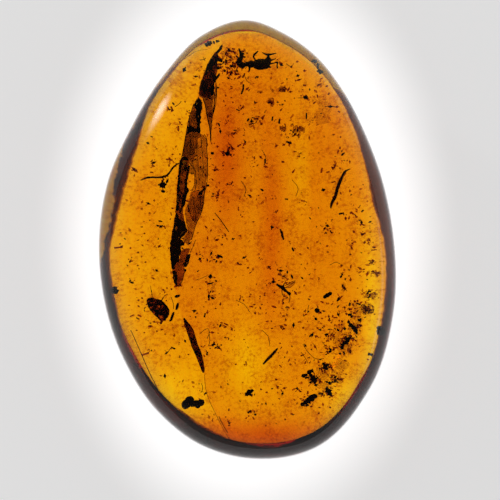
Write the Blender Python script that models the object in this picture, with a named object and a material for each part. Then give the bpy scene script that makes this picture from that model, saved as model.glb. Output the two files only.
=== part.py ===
"""Insect in amber: a polished, egg-shaped piece of clear amber with what the resin caught.

The stone lies on its flat back. +Z is up, the narrow end points to +Y, and the origin is the
middle of the flat back. The stone is parted in two along a gently waved flow surface, and each
sealed thing lies in a pocket that opens on that surface.
Places are given as the eye sees them from straight above, in millimetres from the middle, and
seen_place works out where light bent by the crown really comes from.
"""

import math

import bmesh
import bpy
from mathutils import Matrix, Vector, noise

MM = 0.001
MERGE = 0.002
SHARP_ANGLE = 40

# Stone
THICKNESS = 10.0
GIRDLE_HEIGHT = 5.0
CROWN_ROUNDING = (2.2, 3.4)
BACK_ROUNDING = 2.0
SEGMENTS = 56
RINGS = 28
FLAT_RINGS = 3
FLAT_SHARE = math.sin(FLAT_RINGS * math.pi / RINGS)
REFRACTIVE_INDEX = 1.54
SLOPE_STEP = 0.02
SIGHT_STEPS = 8

# Distance from the middle to the edge, in mm, at each bearing in degrees from +X
OUTLINE = (
    (0, 10.34), (24, 10.42), (44, 11.33), (58, 12.57), (70, 13.88), (80, 14.80), (90, 15.50),
    (102, 14.85), (116, 13.17), (134, 11.55), (156, 10.73), (180, 10.49), (204, 11.04),
    (226, 12.31), (243, 13.75), (258, 14.93), (272, 15.50), (288, 15.47), (308, 13.74),
    (332, 11.63),
)

# Power of the back's curve at each bearing: where it is higher, the back stays flat for longer
BACK_FULLNESS = (
    (0, 2.8), (40, 2.95), (75, 3.7), (95, 3.9), (118, 3.2), (150, 2.5), (190, 2.75),
    (215, 2.7), (238, 2.55), (270, 2.95), (300, 3.0), (320, 2.85), (340, 2.8),
)

# Flow surface between the two pours of resin, on which everything lies
FLOW_HEIGHT = 5.1
FLOW_TILT = 0.05
FLOW_WAVE = 0.45
FLOW_WAVELENGTH = 30.0
PARTING_GAP = 0.3
BLOCK_HALVES = (14.0, 20.0)
BLOCK_ROWS = 18
BLOCK_BOTTOM = -5.0

# Pockets: the clearance is moved out a little more, because a hull's faces lie inside its corners
POCKET_CLEARANCE = 0.3
POCKET_ROOM = 1.15
POCKET_DETAIL = 0.16

# Ant: middle, half length, half width and half height of each swelling, and its turn
ANT_BODY = {
    "gaster": ((0.96, 12.37), (0.52, 0.35, 0.32), 0),
    "gaster_tip": ((1.46, 12.62), (0.22, 0.22, 0.2), 0),
    "mesosoma": ((0.05, 12.37), (0.42, 0.19, 0.2), 4),
    "head": ((-0.53, 12.44), (0.33, 0.24, 0.22), 118),
}
ANT_LIMBS = (
    (0.085, ((-0.5, 12.6), (-0.42, 12.97), (-0.51, 13.29), (-0.6, 13.49))),
    (0.05, ((0.62, 12.4), (0.46, 12.62), (0.45, 12.99), (0.75, 13.28))),
    (0.05, ((1.5, 12.63), (1.77, 12.67), (2.01, 12.76))),
    (0.05, ((1.4, 12.4), (1.86, 12.44), (2.13, 12.49), (2.1, 12.3), (2.11, 12.03))),
    (0.06, ((0.14, 12.3), (0.14, 11.91))),
    (0.055, ((1.42, 12.7), (1.47, 13.02), (2.04, 13.13))),
    (0.045, ((1.47, 13.02), (1.04, 13.2))),
    (0.05, ((-0.6, 12.5), (-0.84, 12.42), (-0.92, 12.28))),
)

# Beetle
BEETLE_MIDDLE = (-6.36, -4.83)
BEETLE_HALVES = (0.92, 0.52, 0.36)
BEETLE_TURN = -47
BEETLE_TAPER = 0.22
BEETLE_HEAD = ((-6.87, -4.32), (0.25, 0.23, 0.22), -47)
BEETLE_LIMBS = (
    (0.09, ((-6.2, -5.45), (-6.06, -5.78), (-6.12, -5.95))),
    (0.04, ((-6.1, -4.4), (-5.83, -3.92), (-5.64, -3.88))),
)

# Midge
MIDGE_BODY = {
    "thorax": ((2.5, -3.4), (0.19, 0.15, 0.15), -37),
    "abdomen": ((2.74, -3.65), (0.34, 0.1, 0.1), -40),
    "abdomen_tip": ((2.91, -3.8), (0.13, 0.12, 0.11), 0),
    "head": ((2.2, -3.24), (0.26, 0.09, 0.1), -30),
}
MIDGE_WINGS = (
    ((2.98, -3.06), (0.43, 0.1, 0.035), 18),
    ((2.99, -3.27), (0.44, 0.1, 0.035), 32),
)
MIDGE_LIMBS = (
    (0.04, ((2.5, -3.5), (2.5, -3.9), (2.8, -4.08))),
    (0.04, ((2.85, -3.75), (2.98, -4.0), (2.94, -4.44))),
)

# Bark films, as outlines
FILM_THICKNESS = 0.16
BARK_FILM_UPPER = (
    (-1.73, 13.78), (-2.17, 13.26), (-2.64, 12.54), (-3.0, 11.81), (-3.26, 11.14),
    (-3.41, 10.31), (-3.05, 9.8), (-2.9, 8.96), (-2.74, 8.08), (-2.58, 6.84), (-2.53, 8.24),
    (-2.4, 9.27), (-2.22, 10.05), (-2.14, 10.93), (-2.22, 11.55), (-1.91, 11.97),
    (-1.75, 12.74), (-2.02, 13.16),
)
BARK_FILM_LOWER = (
    (-3.62, 10.05), (-3.73, 9.48), (-4.01, 8.86), (-4.14, 8.08), (-4.3, 7.2), (-4.6, 5.96),
    (-4.83, 5.37), (-4.95, 3.9), (-5.06, 1.63), (-5.42, 0.22), (-5.46, -0.59), (-5.42, -1.33),
    (-5.3, -2.68), (-5.1, -3.22), (-4.83, -3.36), (-4.53, -2.79), (-4.29, -2.21),
    (-4.09, -1.47), (-4.02, -0.99), (-4.16, -0.48), (-4.24, 0.2), (-3.82, 0.53),
    (-3.7, 0.96), (-3.48, 1.32), (-3.17, 2.31), (-3.07, 3.3), (-2.85, 3.89), (-2.81, 4.79),
    (-2.87, 5.96), (-2.9, 7.04), (-3.31, 7.46), (-3.31, 8.34), (-3.23, 9.23),
)

# Long thin things: the half width along each route
NEEDLE = ((-4.45, -5.64), (-4.17, -6.24), (-3.89, -6.95), (-3.64, -7.65), (-3.39, -8.36),
          (-3.22, -8.92), (-3.11, -9.35))
NEEDLE_HALVES = (0.05, 0.19, 0.22, 0.21, 0.2, 0.14, 0.05)
TWIG = ((6.88, 4.8), (6.64, 4.35), (6.46, 4.0), (6.32, 3.44), (6.14, 2.94), (5.96, 2.66),
        (5.89, 2.24))
TWIG_HALVES = (0.06, 0.1, 0.11, 0.11, 0.1, 0.08, 0.05)
ROOTLET = ((-7.49, 4.21), (-7.03, 4.35), (-6.54, 4.39), (-5.97, 4.42), (-5.62, 4.57),
           (-5.34, 4.92))
ROOTLET_HALVES = (0.04, 0.07, 0.06, 0.06, 0.06, 0.05)

# Star-shaped plant hair
STELLATE_MIDDLE = (-5.97, 3.86)
STELLATE_RAYS = 7
STELLATE_REACH = 0.36
STELLATE_UNEVEN = 0.25
STELLATE_TURN = 0.3
STELLATE_KNOB = (0.13, 0.13, 0.1)
STELLATE_HALF = 0.065

# Droppings and pellets
DROPPING_LOBES = (
    ((-4.24, -11.5), (0.42, 0.35, 0.3), 30),
    ((-3.5, -11.5), (0.4, 0.28, 0.26), 10),
)
PELLETS = {
    "pellet_round": ((4.91, -5.0), (0.2, 0.2, 0.2), 0),
    "pellet_edge": ((9.36, -6.38), (0.17, 0.3, 0.18), -10),
    "pellet_oval": ((5.65, -3.91), (0.36, 0.16, 0.16), -35),
}
RODS = {
    "rod_straight": (0.09, ((1.09, -8.78), (1.62, -8.22), (2.15, -7.65))),
    "rod_upper": (0.085, ((2.29, 0.75), (2.46, 0.35), (2.57, -0.02))),
    "rod_by_film": (0.09, ((-5.1, -4.04), (-4.94, -3.98), (-4.76, -3.92))),
    "rod_by_beetle": (0.08, ((-4.92, -4.49), (-4.96, -4.71), (-5.01, -4.94))),
    "rod_bent": (0.075, ((-5.2, -5.14), (-5.31, -5.36), (-5.37, -5.59), (-5.51, -5.73))),
}

# Crumbs of bark and soil: middle, half sizes, turn in degrees, roughness as a share of size
CRUMBS = {
    "crumb_lower_middle": ((0.1, -10.76), (0.38, 0.28, 0.24), 40, 0.35),
    "crumb_swarm_large": ((4.43, -9.66), (0.62, 0.38, 0.3), -38, 0.4),
    "crumb_swarm_long": ((4.29, -11.36), (0.58, 0.22, 0.22), 30, 0.3),
    "crumb_swarm_small": ((5.68, -10.6), (0.25, 0.32, 0.2), 0, 0.3),
    "crumb_curved": ((7.4, -6.2), (0.46, 0.22, 0.2), -50, 0.35),
    "crumb_fuzzy": ((6.95, -7.2), (0.44, 0.25, 0.2), 48, 0.4),
    "crumb_pale": ((8.37, -4.83), (0.36, 0.34, 0.24), 0, 0.25),
    "crumb_middle": ((5.52, -8.97), (0.3, 0.22, 0.2), 0, 0.35),
    "crumb_streak": ((6.08, -9.9), (0.36, 0.16, 0.16), 35, 0.3),
    "crumb_top": ((-2.7, 13.85), (0.3, 0.14, 0.14), 33, 0.3),
    "crumb_top_edge": ((4.87, 12.0), (0.3, 0.18, 0.16), -25, 0.35),
    "crumb_left_edge": ((-9.36, -3.42), (0.2, 0.3, 0.18), -12, 0.3),
}

# Lumps of the rough pieces: how many lie across one, and how the pattern shifts with its place
LUMPS_ACROSS = 1.7
LUMP_SHIFT = 5.0
BEETLE_ROUGHNESS = 0.12
LOBE_ROUGHNESS = 0.2

# Finish of each kind: colour, roughness and how much light it lets through
FINISHES = {
    "amber": ((0.80, 0.34, 0.02), 0.03, 1.0),
    "insect_black": ((0.012, 0.007, 0.005), 0.45, 0.0),
    "beetle_brown": ((0.10, 0.022, 0.010), 0.4, 0.0),
    "bark": ((0.045, 0.016, 0.008), 0.75, 0.0),
    "plant": ((0.05, 0.018, 0.007), 0.7, 0.0),
    "dropping": ((0.025, 0.02, 0.008), 0.8, 0.0),
}


def clear_scene():
    for thing in list(bpy.data.objects):
        bpy.data.objects.remove(thing, do_unlink=True)


def new_collection(name):
    group = bpy.data.collections.new(name)
    bpy.context.scene.collection.children.link(group)
    return group


def new_material(name):
    colour, roughness, transmission = FINISHES[name]
    material = bpy.data.materials.new(name)
    material.use_nodes = True
    shader = material.node_tree.nodes["Principled BSDF"]
    shader.inputs["Base Color"].default_value = (*colour, 1.0)
    shader.inputs["Roughness"].default_value = roughness
    shader.inputs["Metallic"].default_value = 0.0
    shader.inputs["IOR"].default_value = REFRACTIVE_INDEX
    shader.inputs["Transmission Weight"].default_value = transmission
    return material


def knot_slope(before, knot, after):
    """Slope at a knot of a table, from the slopes on both sides of it."""
    slope_before = (knot[1] - before[1]) / (knot[0] - before[0])
    slope_after = (after[1] - knot[1]) / (after[0] - knot[0])
    share = (knot[0] - before[0]) / (after[0] - before[0])
    return slope_before * (1 - share) + slope_after * share


def around(table, bearing):
    """A table's value at a bearing, on a smooth closed curve through all its values."""
    degrees = math.degrees(bearing) % 360
    count = len(table)
    turns = [(table[k % count][0] + 360 * (k // count), table[k % count][1])
             for k in range(-1, count + 3)]
    first = next(k for k in range(1, count + 1) if turns[k][0] <= degrees < turns[k + 1][0])
    before, start, end, after = turns[first - 1:first + 3]
    width = end[0] - start[0]
    u = (degrees - start[0]) / width
    start_slope = knot_slope(before, start, end) * width
    end_slope = knot_slope(start, end, after) * width
    return ((2 * u**3 - 3 * u**2 + 1) * start[1] + (u**3 - 2 * u**2 + u) * start_slope
            + (3 * u**2 - 2 * u**3) * end[1] + (u**3 - u**2) * end_slope)


def outline_radius(bearing):
    """Distance in mm from the middle to the stone's edge."""
    return around(OUTLINE, bearing)


def crown_height(share):
    """Height of the crown at a share of the way from the middle to the edge."""
    inner, outer = CROWN_ROUNDING
    dome = max(0.0, 1 - share**inner) ** (1 / outer)
    return GIRDLE_HEIGHT + (THICKNESS - GIRDLE_HEIGHT) * dome


def back_height(share, fullness):
    """Height of the back: flat in the middle, then rising to the girdle."""
    rise = max(0.0, (share - FLAT_SHARE) / (1 - FLAT_SHARE))
    return GIRDLE_HEIGHT * (1 - max(0.0, 1 - rise**fullness) ** (1 / BACK_ROUNDING))


def crown_at(x, y):
    return crown_height(min(1.0, math.hypot(x, y) / outline_radius(math.atan2(y, x))))


def flow_height(x, y):
    wave = FLOW_WAVE * math.sin(2 * math.pi * y / FLOW_WAVELENGTH)
    return FLOW_HEIGHT + FLOW_TILT * x + wave


def seen_place(x, y):
    """True place, in metres, on the flow surface of what is seen from above at x, y in mm."""
    step = SLOPE_STEP
    slope_x = (crown_at(x + step, y) - crown_at(x - step, y)) / (2 * step)
    slope_y = (crown_at(x, y + step) - crown_at(x, y - step)) / (2 * step)
    normal = Vector((-slope_x, -slope_y, 1)).normalized()
    ratio = 1 / REFRACTIVE_INDEX
    facing = normal.z
    bend = ratio * facing - math.sqrt(1 - ratio**2 * (1 - facing**2))
    ray = ratio * Vector((0, 0, -1)) + bend * normal
    place = Vector((x, y, crown_at(x, y)))
    for _ in range(SIGHT_STEPS):
        place += ray * ((flow_height(place.x, place.y) - place.z) / ray.z)
    return place * MM


def new_object(name, mesh, group, material=None):
    thing = bpy.data.objects.new(name, mesh)
    group.objects.link(thing)
    if material:
        mesh.materials.append(material)
    return thing


def mesh_from(work, name):
    mesh = bpy.data.meshes.new(name)
    work.to_mesh(mesh)
    work.free()
    return mesh


def shade(thing):
    thing.data.shade_smooth()
    thing.data.set_sharp_from_angle(angle=math.radians(SHARP_ANGLE))


def add_boolean(thing, tool, operation):
    modifier = thing.modifiers.new(tool.name, "BOOLEAN")
    modifier.object = tool
    modifier.operation = operation
    modifier.solver = "EXACT"


def hide_tool(tool):
    tool.hide_render = True
    tool.display_type = "WIRE"


def evaluated_mesh(thing):
    """A plain mesh of the object with its modifiers and its curve worked out."""
    graph = bpy.context.evaluated_depsgraph_get()
    graph.update()
    return bpy.data.meshes.new_from_object(thing.evaluated_get(graph))


def make_stone(name, group):
    """The whole stone as one closed solid, from a UV sphere."""
    work = bmesh.new()
    bmesh.ops.create_uvsphere(work, u_segments=SEGMENTS, v_segments=RINGS, radius=1.0)
    for vertex in work.verts:
        x, y, z = vertex.co
        share = min(1.0, math.hypot(x, y))
        bearing = math.atan2(y, x)
        reach = outline_radius(bearing) * share
        if z > 0:
            height = crown_height(share)
        else:
            height = back_height(share, around(BACK_FULLNESS, bearing))
        vertex.co = Vector((reach * math.cos(bearing), reach * math.sin(bearing), height)) * MM
    flat = [face for face in work.faces if all(v.co.z < MERGE * MM for v in face.verts)]
    bmesh.ops.dissolve_faces(work, faces=flat)
    return new_object(name, mesh_from(work, name), group)


def make_flow_block(name, lift, group):
    """Everything below the flow surface moved up by lift, as a closed block."""
    work = bmesh.new()
    bmesh.ops.create_grid(work, x_segments=2, y_segments=BLOCK_ROWS, size=1.0)
    for vertex in work.verts:
        x = vertex.co.x * BLOCK_HALVES[0]
        y = vertex.co.y * BLOCK_HALVES[1]
        vertex.co = Vector((x, y, flow_height(x, y) + lift)) * MM
    base = bmesh.ops.extrude_face_region(work, geom=work.faces[:])["geom"]
    for vertex in (part for part in base if isinstance(part, bmesh.types.BMVert)):
        vertex.co.z = BLOCK_BOTTOM * MM
    bmesh.ops.recalc_face_normals(work, faces=work.faces[:])
    block = new_object(name, mesh_from(work, name), group)
    hide_tool(block)
    return block


def make_swelling(name, shape, group, roughness=0.0, taper=0.0):
    """A rounded body: its middle as seen, its half sizes and its turn about the vertical."""
    middle, halves, turn = shape
    work = bmesh.new()
    bmesh.ops.create_icosphere(work, subdivisions=2, radius=1.0)
    for vertex in work.verts:
        spot = vertex.co * LUMPS_ACROSS + Vector((*middle, 0)) * LUMP_SHIFT
        lump = 1 + roughness * noise.noise(spot)
        width = 1 + taper * vertex.co.x
        vertex.co = Vector((vertex.co.x, vertex.co.y * width, vertex.co.z * width)) * lump
    size = Matrix.Diagonal((*(half * MM for half in halves), 1))
    turned = Matrix.Rotation(math.radians(turn), 4, "Z")
    place = Matrix.Translation(seen_place(*middle))
    bmesh.ops.transform(work, matrix=place @ turned @ size, verts=work.verts[:])
    return new_object(name, mesh_from(work, name), group)


def make_strand(name, route, halves, group, rounding=1):
    """A thin tube along a route as seen, with its own half width at each point."""
    curve = bpy.data.curves.new(name, "CURVE")
    curve.dimensions = "3D"
    curve.bevel_depth = MM
    curve.bevel_resolution = rounding
    curve.use_fill_caps = True
    spline = curve.splines.new("POLY")
    spline.points.add(len(route) - 1)
    for point, place, half in zip(spline.points, route, halves):
        point.co = (*seen_place(*place), 1)
        point.radius = half
    draft = bpy.data.objects.new(name, curve)
    group.objects.link(draft)
    mesh = evaluated_mesh(draft)
    bpy.data.objects.remove(draft)
    bpy.data.curves.remove(curve)
    work = bmesh.new()
    work.from_mesh(mesh)
    bpy.data.meshes.remove(mesh)
    bmesh.ops.remove_doubles(work, verts=work.verts[:], dist=MERGE * MM)
    return new_object(name, mesh_from(work, name), group)


def make_film(name, outline, group, material):
    """A thin flat piece with the outline as seen, laid on the flow surface."""
    curve = bpy.data.curves.new(name, "CURVE")
    curve.dimensions = "2D"
    curve.fill_mode = "BOTH"
    curve.extrude = FILM_THICKNESS / 2 * MM
    places = [seen_place(*place) for place in outline]
    spline = curve.splines.new("POLY")
    spline.points.add(len(places) - 1)
    for point, place in zip(spline.points, places):
        point.co = (place.x, place.y, 0, 1)
    spline.use_cyclic_u = True
    draft = bpy.data.objects.new(name, curve)
    group.objects.link(draft)
    mesh = evaluated_mesh(draft)
    bpy.data.objects.remove(draft)
    bpy.data.curves.remove(curve)
    work = bmesh.new()
    work.from_mesh(mesh)
    bpy.data.meshes.remove(mesh)
    bmesh.ops.remove_doubles(work, verts=work.verts[:], dist=MERGE * MM)
    for vertex in work.verts:
        vertex.co.z += flow_height(vertex.co.x / MM, vertex.co.y / MM) * MM
    bmesh.ops.recalc_face_normals(work, faces=work.faces[:])
    return new_object(name, mesh_from(work, name), group, material)


def fuse(name, pieces, group, material):
    """One closed body from overlapping pieces, by Boolean union."""
    whole = pieces[0]
    for piece in pieces[1:]:
        add_boolean(whole, piece, "UNION")
    mesh = evaluated_mesh(whole)
    for piece in pieces:
        bpy.data.objects.remove(piece)
    work = bmesh.new()
    work.from_mesh(mesh)
    bpy.data.meshes.remove(mesh)
    bmesh.ops.remove_doubles(work, verts=work.verts[:], dist=MERGE * MM)
    thing = new_object(name, mesh_from(work, name), group, material)
    shade(thing)
    return thing


def even_halves(route, half):
    return [half] * len(route)


def make_limbs(name, limbs, group):
    return [make_strand(f"{name}_limb_{count}", route, even_halves(route, half), group, 0)
            for count, (half, route) in enumerate(limbs)]


def make_creature(name, swellings, limbs, group, material):
    """An insect: its rounded body parts with its legs and feelers, fused."""
    pieces = [make_swelling(f"{name}_{part}", shape, group)
              for part, shape in swellings.items()]
    pieces += make_limbs(name, limbs, group)
    return fuse(name, pieces, group, material)


def make_beetle(group, material):
    body = make_swelling("beetle_body", (BEETLE_MIDDLE, BEETLE_HALVES, BEETLE_TURN), group,
                         roughness=BEETLE_ROUGHNESS, taper=BEETLE_TAPER)
    head = make_swelling("beetle_head", BEETLE_HEAD, group)
    limbs = make_limbs("beetle", BEETLE_LIMBS, group)
    return fuse("beetle", [body, head] + limbs, group, material)


def make_midge(group, material):
    swellings = dict(MIDGE_BODY)
    for count, wing in enumerate(MIDGE_WINGS):
        swellings[f"wing_{count}"] = wing
    return make_creature("midge", swellings, MIDGE_LIMBS, group, material)


def make_stellate_hair(group, material):
    """A plant hair with rays that spread from one point."""
    x, y = STELLATE_MIDDLE
    pieces = []
    for ray in range(STELLATE_RAYS):
        bearing = 2 * math.pi * ray / STELLATE_RAYS + STELLATE_TURN
        longer = STELLATE_UNEVEN * math.sin(3 * bearing)
        reach = STELLATE_REACH * (1 - STELLATE_UNEVEN + longer)
        end = (x + reach * math.cos(bearing), y + reach * math.sin(bearing))
        halves = (STELLATE_HALF, STELLATE_HALF / 2)
        pieces.append(make_strand(f"ray_{ray}", ((x, y), end), halves, group, 0))
    middle = make_swelling("middle", (STELLATE_MIDDLE, STELLATE_KNOB, 0), group)
    return fuse("stellate_hair", [middle] + pieces, group, material)


def make_single(name, thing, group, material):
    thing.name = name
    thing.data.materials.append(material)
    shade(thing)
    return thing


def make_inclusions(group, finishes):
    """Everything sealed in the stone, one object for each real piece."""
    black = finishes["insect_black"]
    bark = finishes["bark"]
    plant = finishes["plant"]
    dropping = finishes["dropping"]
    things = [
        make_creature("ant", ANT_BODY, ANT_LIMBS, group, black),
        make_beetle(group, finishes["beetle_brown"]),
        make_midge(group, black),
        make_film("bark_film_upper", BARK_FILM_UPPER, group, bark),
        make_film("bark_film_lower", BARK_FILM_LOWER, group, bark),
        make_stellate_hair(group, plant),
    ]
    for name, route, halves in (("needle", NEEDLE, NEEDLE_HALVES), ("twig", TWIG, TWIG_HALVES),
                                ("rootlet", ROOTLET, ROOTLET_HALVES)):
        things.append(make_single(name, make_strand(name, route, halves, group), group, plant))
    lobes = [make_swelling(f"lobe_{count}", lobe, group, roughness=LOBE_ROUGHNESS)
             for count, lobe in enumerate(DROPPING_LOBES)]
    things.append(fuse("dropping_two_lobed", lobes, group, dropping))
    for name, shape in PELLETS.items():
        things.append(make_single(name, make_swelling(name, shape, group), group, dropping))
    for name, (half, route) in RODS.items():
        rod = make_strand(name, route, even_halves(route, half), group)
        things.append(make_single(name, rod, group, plant))
    for name, (middle, halves, turn, roughness) in CRUMBS.items():
        crumb = make_swelling(name, (middle, halves, turn), group, roughness)
        things.append(make_single(name, crumb, group, bark))
    return things


def make_pocket(thing, group):
    """A closed hollow for a sealed thing: its convex hull, moved outward by the clearance."""
    work = bmesh.new()
    for vertex in thing.data.vertices:
        work.verts.new(vertex.co / MM)
    bmesh.ops.remove_doubles(work, verts=work.verts[:], dist=POCKET_DETAIL)
    hull = bmesh.ops.convex_hull(work, input=work.verts[:])
    spare = {part for part in hull["geom_interior"] + hull["geom_unused"]
             if isinstance(part, bmesh.types.BMVert)}
    bmesh.ops.delete(work, geom=list(spare), context="VERTS")
    bmesh.ops.recalc_face_normals(work, faces=work.faces[:])
    work.normal_update()
    moves = {vertex: vertex.normal * POCKET_CLEARANCE * POCKET_ROOM for vertex in work.verts}
    for vertex, move in moves.items():
        vertex.co = (vertex.co + move) * MM
    pocket = new_object(f"pocket_{thing.name}", mesh_from(work, "pocket"), group)
    hide_tool(pocket)
    return pocket


def make_amber(inclusions, group, tools, material):
    """The stone as two halves that meet on the flow surface, with a pocket for each thing."""
    pockets = [make_pocket(thing, tools) for thing in inclusions]
    for name, lift, operation in (("amber_lower", -PARTING_GAP / 2, "INTERSECT"),
                                  ("amber_upper", PARTING_GAP / 2, "DIFFERENCE")):
        half = make_stone(name, group)
        half.data.materials.append(material)
        add_boolean(half, make_flow_block(f"flow_block_{name}", lift, tools), operation)
        for pocket in pockets:
            add_boolean(half, pocket, "DIFFERENCE")
        shade(half)


def main():
    clear_scene()
    model = new_collection("insect_in_amber")
    tools = new_collection("cutters")
    finishes = {name: new_material(name) for name in FINISHES}
    inclusions = make_inclusions(model, finishes)
    make_amber(inclusions, model, tools, finishes["amber"])


if __name__ == "__main__":
    main()
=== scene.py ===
"""Insect in amber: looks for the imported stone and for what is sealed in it.

Every sealed thing is placed as the eye sees it from straight above, in points of a picture that is
500 points wide and high, and is then moved to where light bent by the crown really comes from.
Pieces are modelled in millimetres and brought down to metres when they are finished.
"""

import math
import random

import bpy
from bpy.props import FloatProperty, FloatVectorProperty, IntProperty, PointerProperty
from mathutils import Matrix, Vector, noise


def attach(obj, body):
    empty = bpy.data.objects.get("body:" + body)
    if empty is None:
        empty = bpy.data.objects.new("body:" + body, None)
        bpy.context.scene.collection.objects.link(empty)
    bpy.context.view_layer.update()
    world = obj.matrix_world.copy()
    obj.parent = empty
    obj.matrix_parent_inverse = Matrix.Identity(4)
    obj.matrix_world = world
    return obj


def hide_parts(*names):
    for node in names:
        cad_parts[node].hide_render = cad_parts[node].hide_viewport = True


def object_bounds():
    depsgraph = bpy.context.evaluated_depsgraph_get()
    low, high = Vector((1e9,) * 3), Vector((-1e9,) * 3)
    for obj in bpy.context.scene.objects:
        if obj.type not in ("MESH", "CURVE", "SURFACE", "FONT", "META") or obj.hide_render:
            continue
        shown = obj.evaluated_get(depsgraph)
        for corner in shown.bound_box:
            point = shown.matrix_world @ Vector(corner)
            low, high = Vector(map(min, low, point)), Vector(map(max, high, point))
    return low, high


bl_info = {
    "name": "Insect in amber",
    "version": (1, 0, 0),
    "blender": (4, 5, 0),
    "location": "View3D > Sidebar > Amber",
    "description": "A polished piece of amber with an ant, a beetle and a midge in it",
    "category": "Object",
}

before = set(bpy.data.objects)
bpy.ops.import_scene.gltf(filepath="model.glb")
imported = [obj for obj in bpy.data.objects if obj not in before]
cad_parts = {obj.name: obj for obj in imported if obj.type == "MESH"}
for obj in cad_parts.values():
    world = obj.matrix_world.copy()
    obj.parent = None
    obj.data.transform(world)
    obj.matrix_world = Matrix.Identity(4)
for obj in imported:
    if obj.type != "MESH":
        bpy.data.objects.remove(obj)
CAD_LOW, CAD_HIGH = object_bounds()

MM = 0.001

# The picture's point that is the stone's middle, and the millimetres to a point
PICTURE_MIDDLE = (247.55, 239.65)
PICTURE_STEP = 0.07063

# Stone: distance from the middle to the edge, in mm, at each bearing in degrees from +X
OUTLINE = (
    (0, 10.34), (24, 10.42), (44, 11.33), (58, 12.57), (70, 13.88), (80, 14.80), (90, 15.50),
    (102, 14.85), (116, 13.17), (134, 11.55), (156, 10.73), (180, 10.49), (204, 11.04),
    (226, 12.31), (243, 13.75), (258, 14.93), (272, 15.50), (288, 15.47), (308, 13.74),
    (332, 11.63),
)

# Power of the back's curve at each bearing: a fuller back shows a thinner dark rim
BACK_FULLNESS = (
    (0, 2.8), (40, 2.95), (75, 3.7), (95, 3.9), (118, 3.2), (150, 2.5), (190, 2.75),
    (215, 2.7), (238, 2.55), (270, 2.95), (300, 3.0), (320, 2.85), (340, 2.8),
)

# Heights in mm, powers that round the crown and the back, the share of the reach on which the
# back is flat, and the points of each curve from which the mesh takes its even steps
THICKNESS = (CAD_HIGH.z - CAD_LOW.z) / MM
GIRDLE_HEIGHT = 5.0
CROWN_ROUNDING = (2.2, 3.4)
BACK_ROUNDING = 2.0
FLAT_SHARE = math.sin(3 * math.pi / 28)
CURVE_POINTS = 400

# Depth and size in mm of the faint waves that polishing has left on the crown
WAVINESS = 0.02
WAVE_SIZE = 4.0

# Amber's index, the step in mm over which the crown's slope is taken, and the rounds in which a
# bent ray comes to its place on the flow surface
REFRACTIVE_INDEX = 1.54
SLOPE_STEP = 0.02
RAY_ROUNDS = 8

# Resin lies against each sealed thing, so these hardly shine
SEALED_GLOSS = 0.12
SEALED_INDEX = 1.02

# Flow surface between the two pours of resin, in mm, and its edge as seen from above
FLOW_HEIGHT = 5.1
FLOW_TILT = 0.05
FLOW_WAVE = 0.45
FLOW_WAVELENGTH = 30.0
FLOW_EDGE = (
    (222, 45), (211, 61), (202, 79), (198, 97), (190, 114), (186, 132), (182, 156), (178, 172),
    (177, 191), (176, 211), (172, 232), (171, 252), (173, 272), (175, 285), (184, 320),
    (204, 372), (206, 392), (220, 420), (226, 434), (238, 449),
)

# Second pour: columns and rows of its mesh, rows of the picture that it spans, its reach as a
# share of the stone's, and the part of that over which it fades
POUR_GRID = (90, 130)
POUR_TOP = 34.0
POUR_BOTTOM = 446.0
POUR_REACH = 0.975
POUR_FADE = 0.06

# Share of its columns left of the flow's edge, and the picture points that are kept between that
# edge and the stone's sides, and between the two pours
POUR_SPLIT = 1 / 3
POUR_MARGIN = 0.5
POUR_SEAM = 0.4

# Its depth of colour left and right of that edge and the deepest one, in mm of resin, how
# strongly that is streaked, and the film's own thickness and lift in mm
POUR_LEFT = 0.7
POUR_RIGHT = 1.35
POUR_DEEPEST = 4.0
POUR_STREAKS = 0.22
POUR_FILM = 0.1
POUR_LIFT = -0.3

# Deeper and paler places: middle and half sizes in picture points, and mm of resin more or less
# The paler strip at the right, (372, 320), and the paler patch at the lower right, (350, 400),
# paint the bright band of light that is focused through the stone there. The deep bands along the
# bottom, (262, 438) and (210, 428), paint the shade at the bottom rim
POUR_ZONES_AND_PAINTED_LIGHT = (
    ((271, 225), (11, 95), 1.3), ((226, 160), (15, 60), 1.8), ((240, 95), (45, 50), 0.5),
    ((262, 438), (62, 16), 2.7), ((210, 428), (20, 12), 1.2), ((330, 245), (26, 80), 0.15),
    ((250, 362), (26, 38), -1.2), ((148, 195), (20, 45), 0.5), ((176, 388), (24, 26), -0.45),
    ((372, 320), (12, 110), -1.35), ((350, 400), (24, 30), -1.2), ((301, 172), (9, 45), -0.8),
    ((205, 250), (12, 30), 0.5), ((322, 140), (26, 50), 0.4), ((165, 330), (30, 60), 0.25),
)

# Painted rim shade: width in picture points of the dark brown sheet that paints the shade of the
# stone's dark rim, and how much of it is a paler tan, both at each bearing
RIM_SHADE_WIDTH = (
    (0, 11), (20, 15.5), (30, 13.5), (40, 10.5), (60, 8), (75, 9), (92, 10), (101, 7.5),
    (112, 7), (126, 7), (140, 15.5), (160, 19), (172, 17), (184, 12), (200, 12), (224, 11),
    (240, 15.5), (252, 20), (270, 15.5), (285, 13.3), (300, 12), (330, 12),
)
RIM_SHADE_TAN = (
    (0, 0.0), (52, 0.0), (62, 0.7), (74, 0.95), (104, 0.95), (112, 0.6), (124, 0.3),
    (140, 0.2), (158, 0.45), (172, 0.6), (182, 0.5), (194, 0.0), (330, 0.0),
)

# Its height and thickness in mm, its reach as a share of the stone's, and its steps from the rim
# inwards with the power that crowds them at the rim
RIM_SHADE_HEIGHT = 5.1
RIM_SHADE_THICKNESS = 0.06
RIM_SHADE_REACH = 0.998
RIM_SHADE_STEPS = 16
RIM_SHADE_CROWDING = 2.2

# Weight of the tan, raggedness of its border, the share of light that goes straight through the
# brown parts, and how far light spreads in the tan parts, in mm
RIM_SHADE_TAN_WEIGHT = 1.4
RIM_SHADE_RAGGED = 0.9
RIM_SHADE_CLEAR = 0.7
RIM_TAN_SPREAD = 0.9

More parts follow.
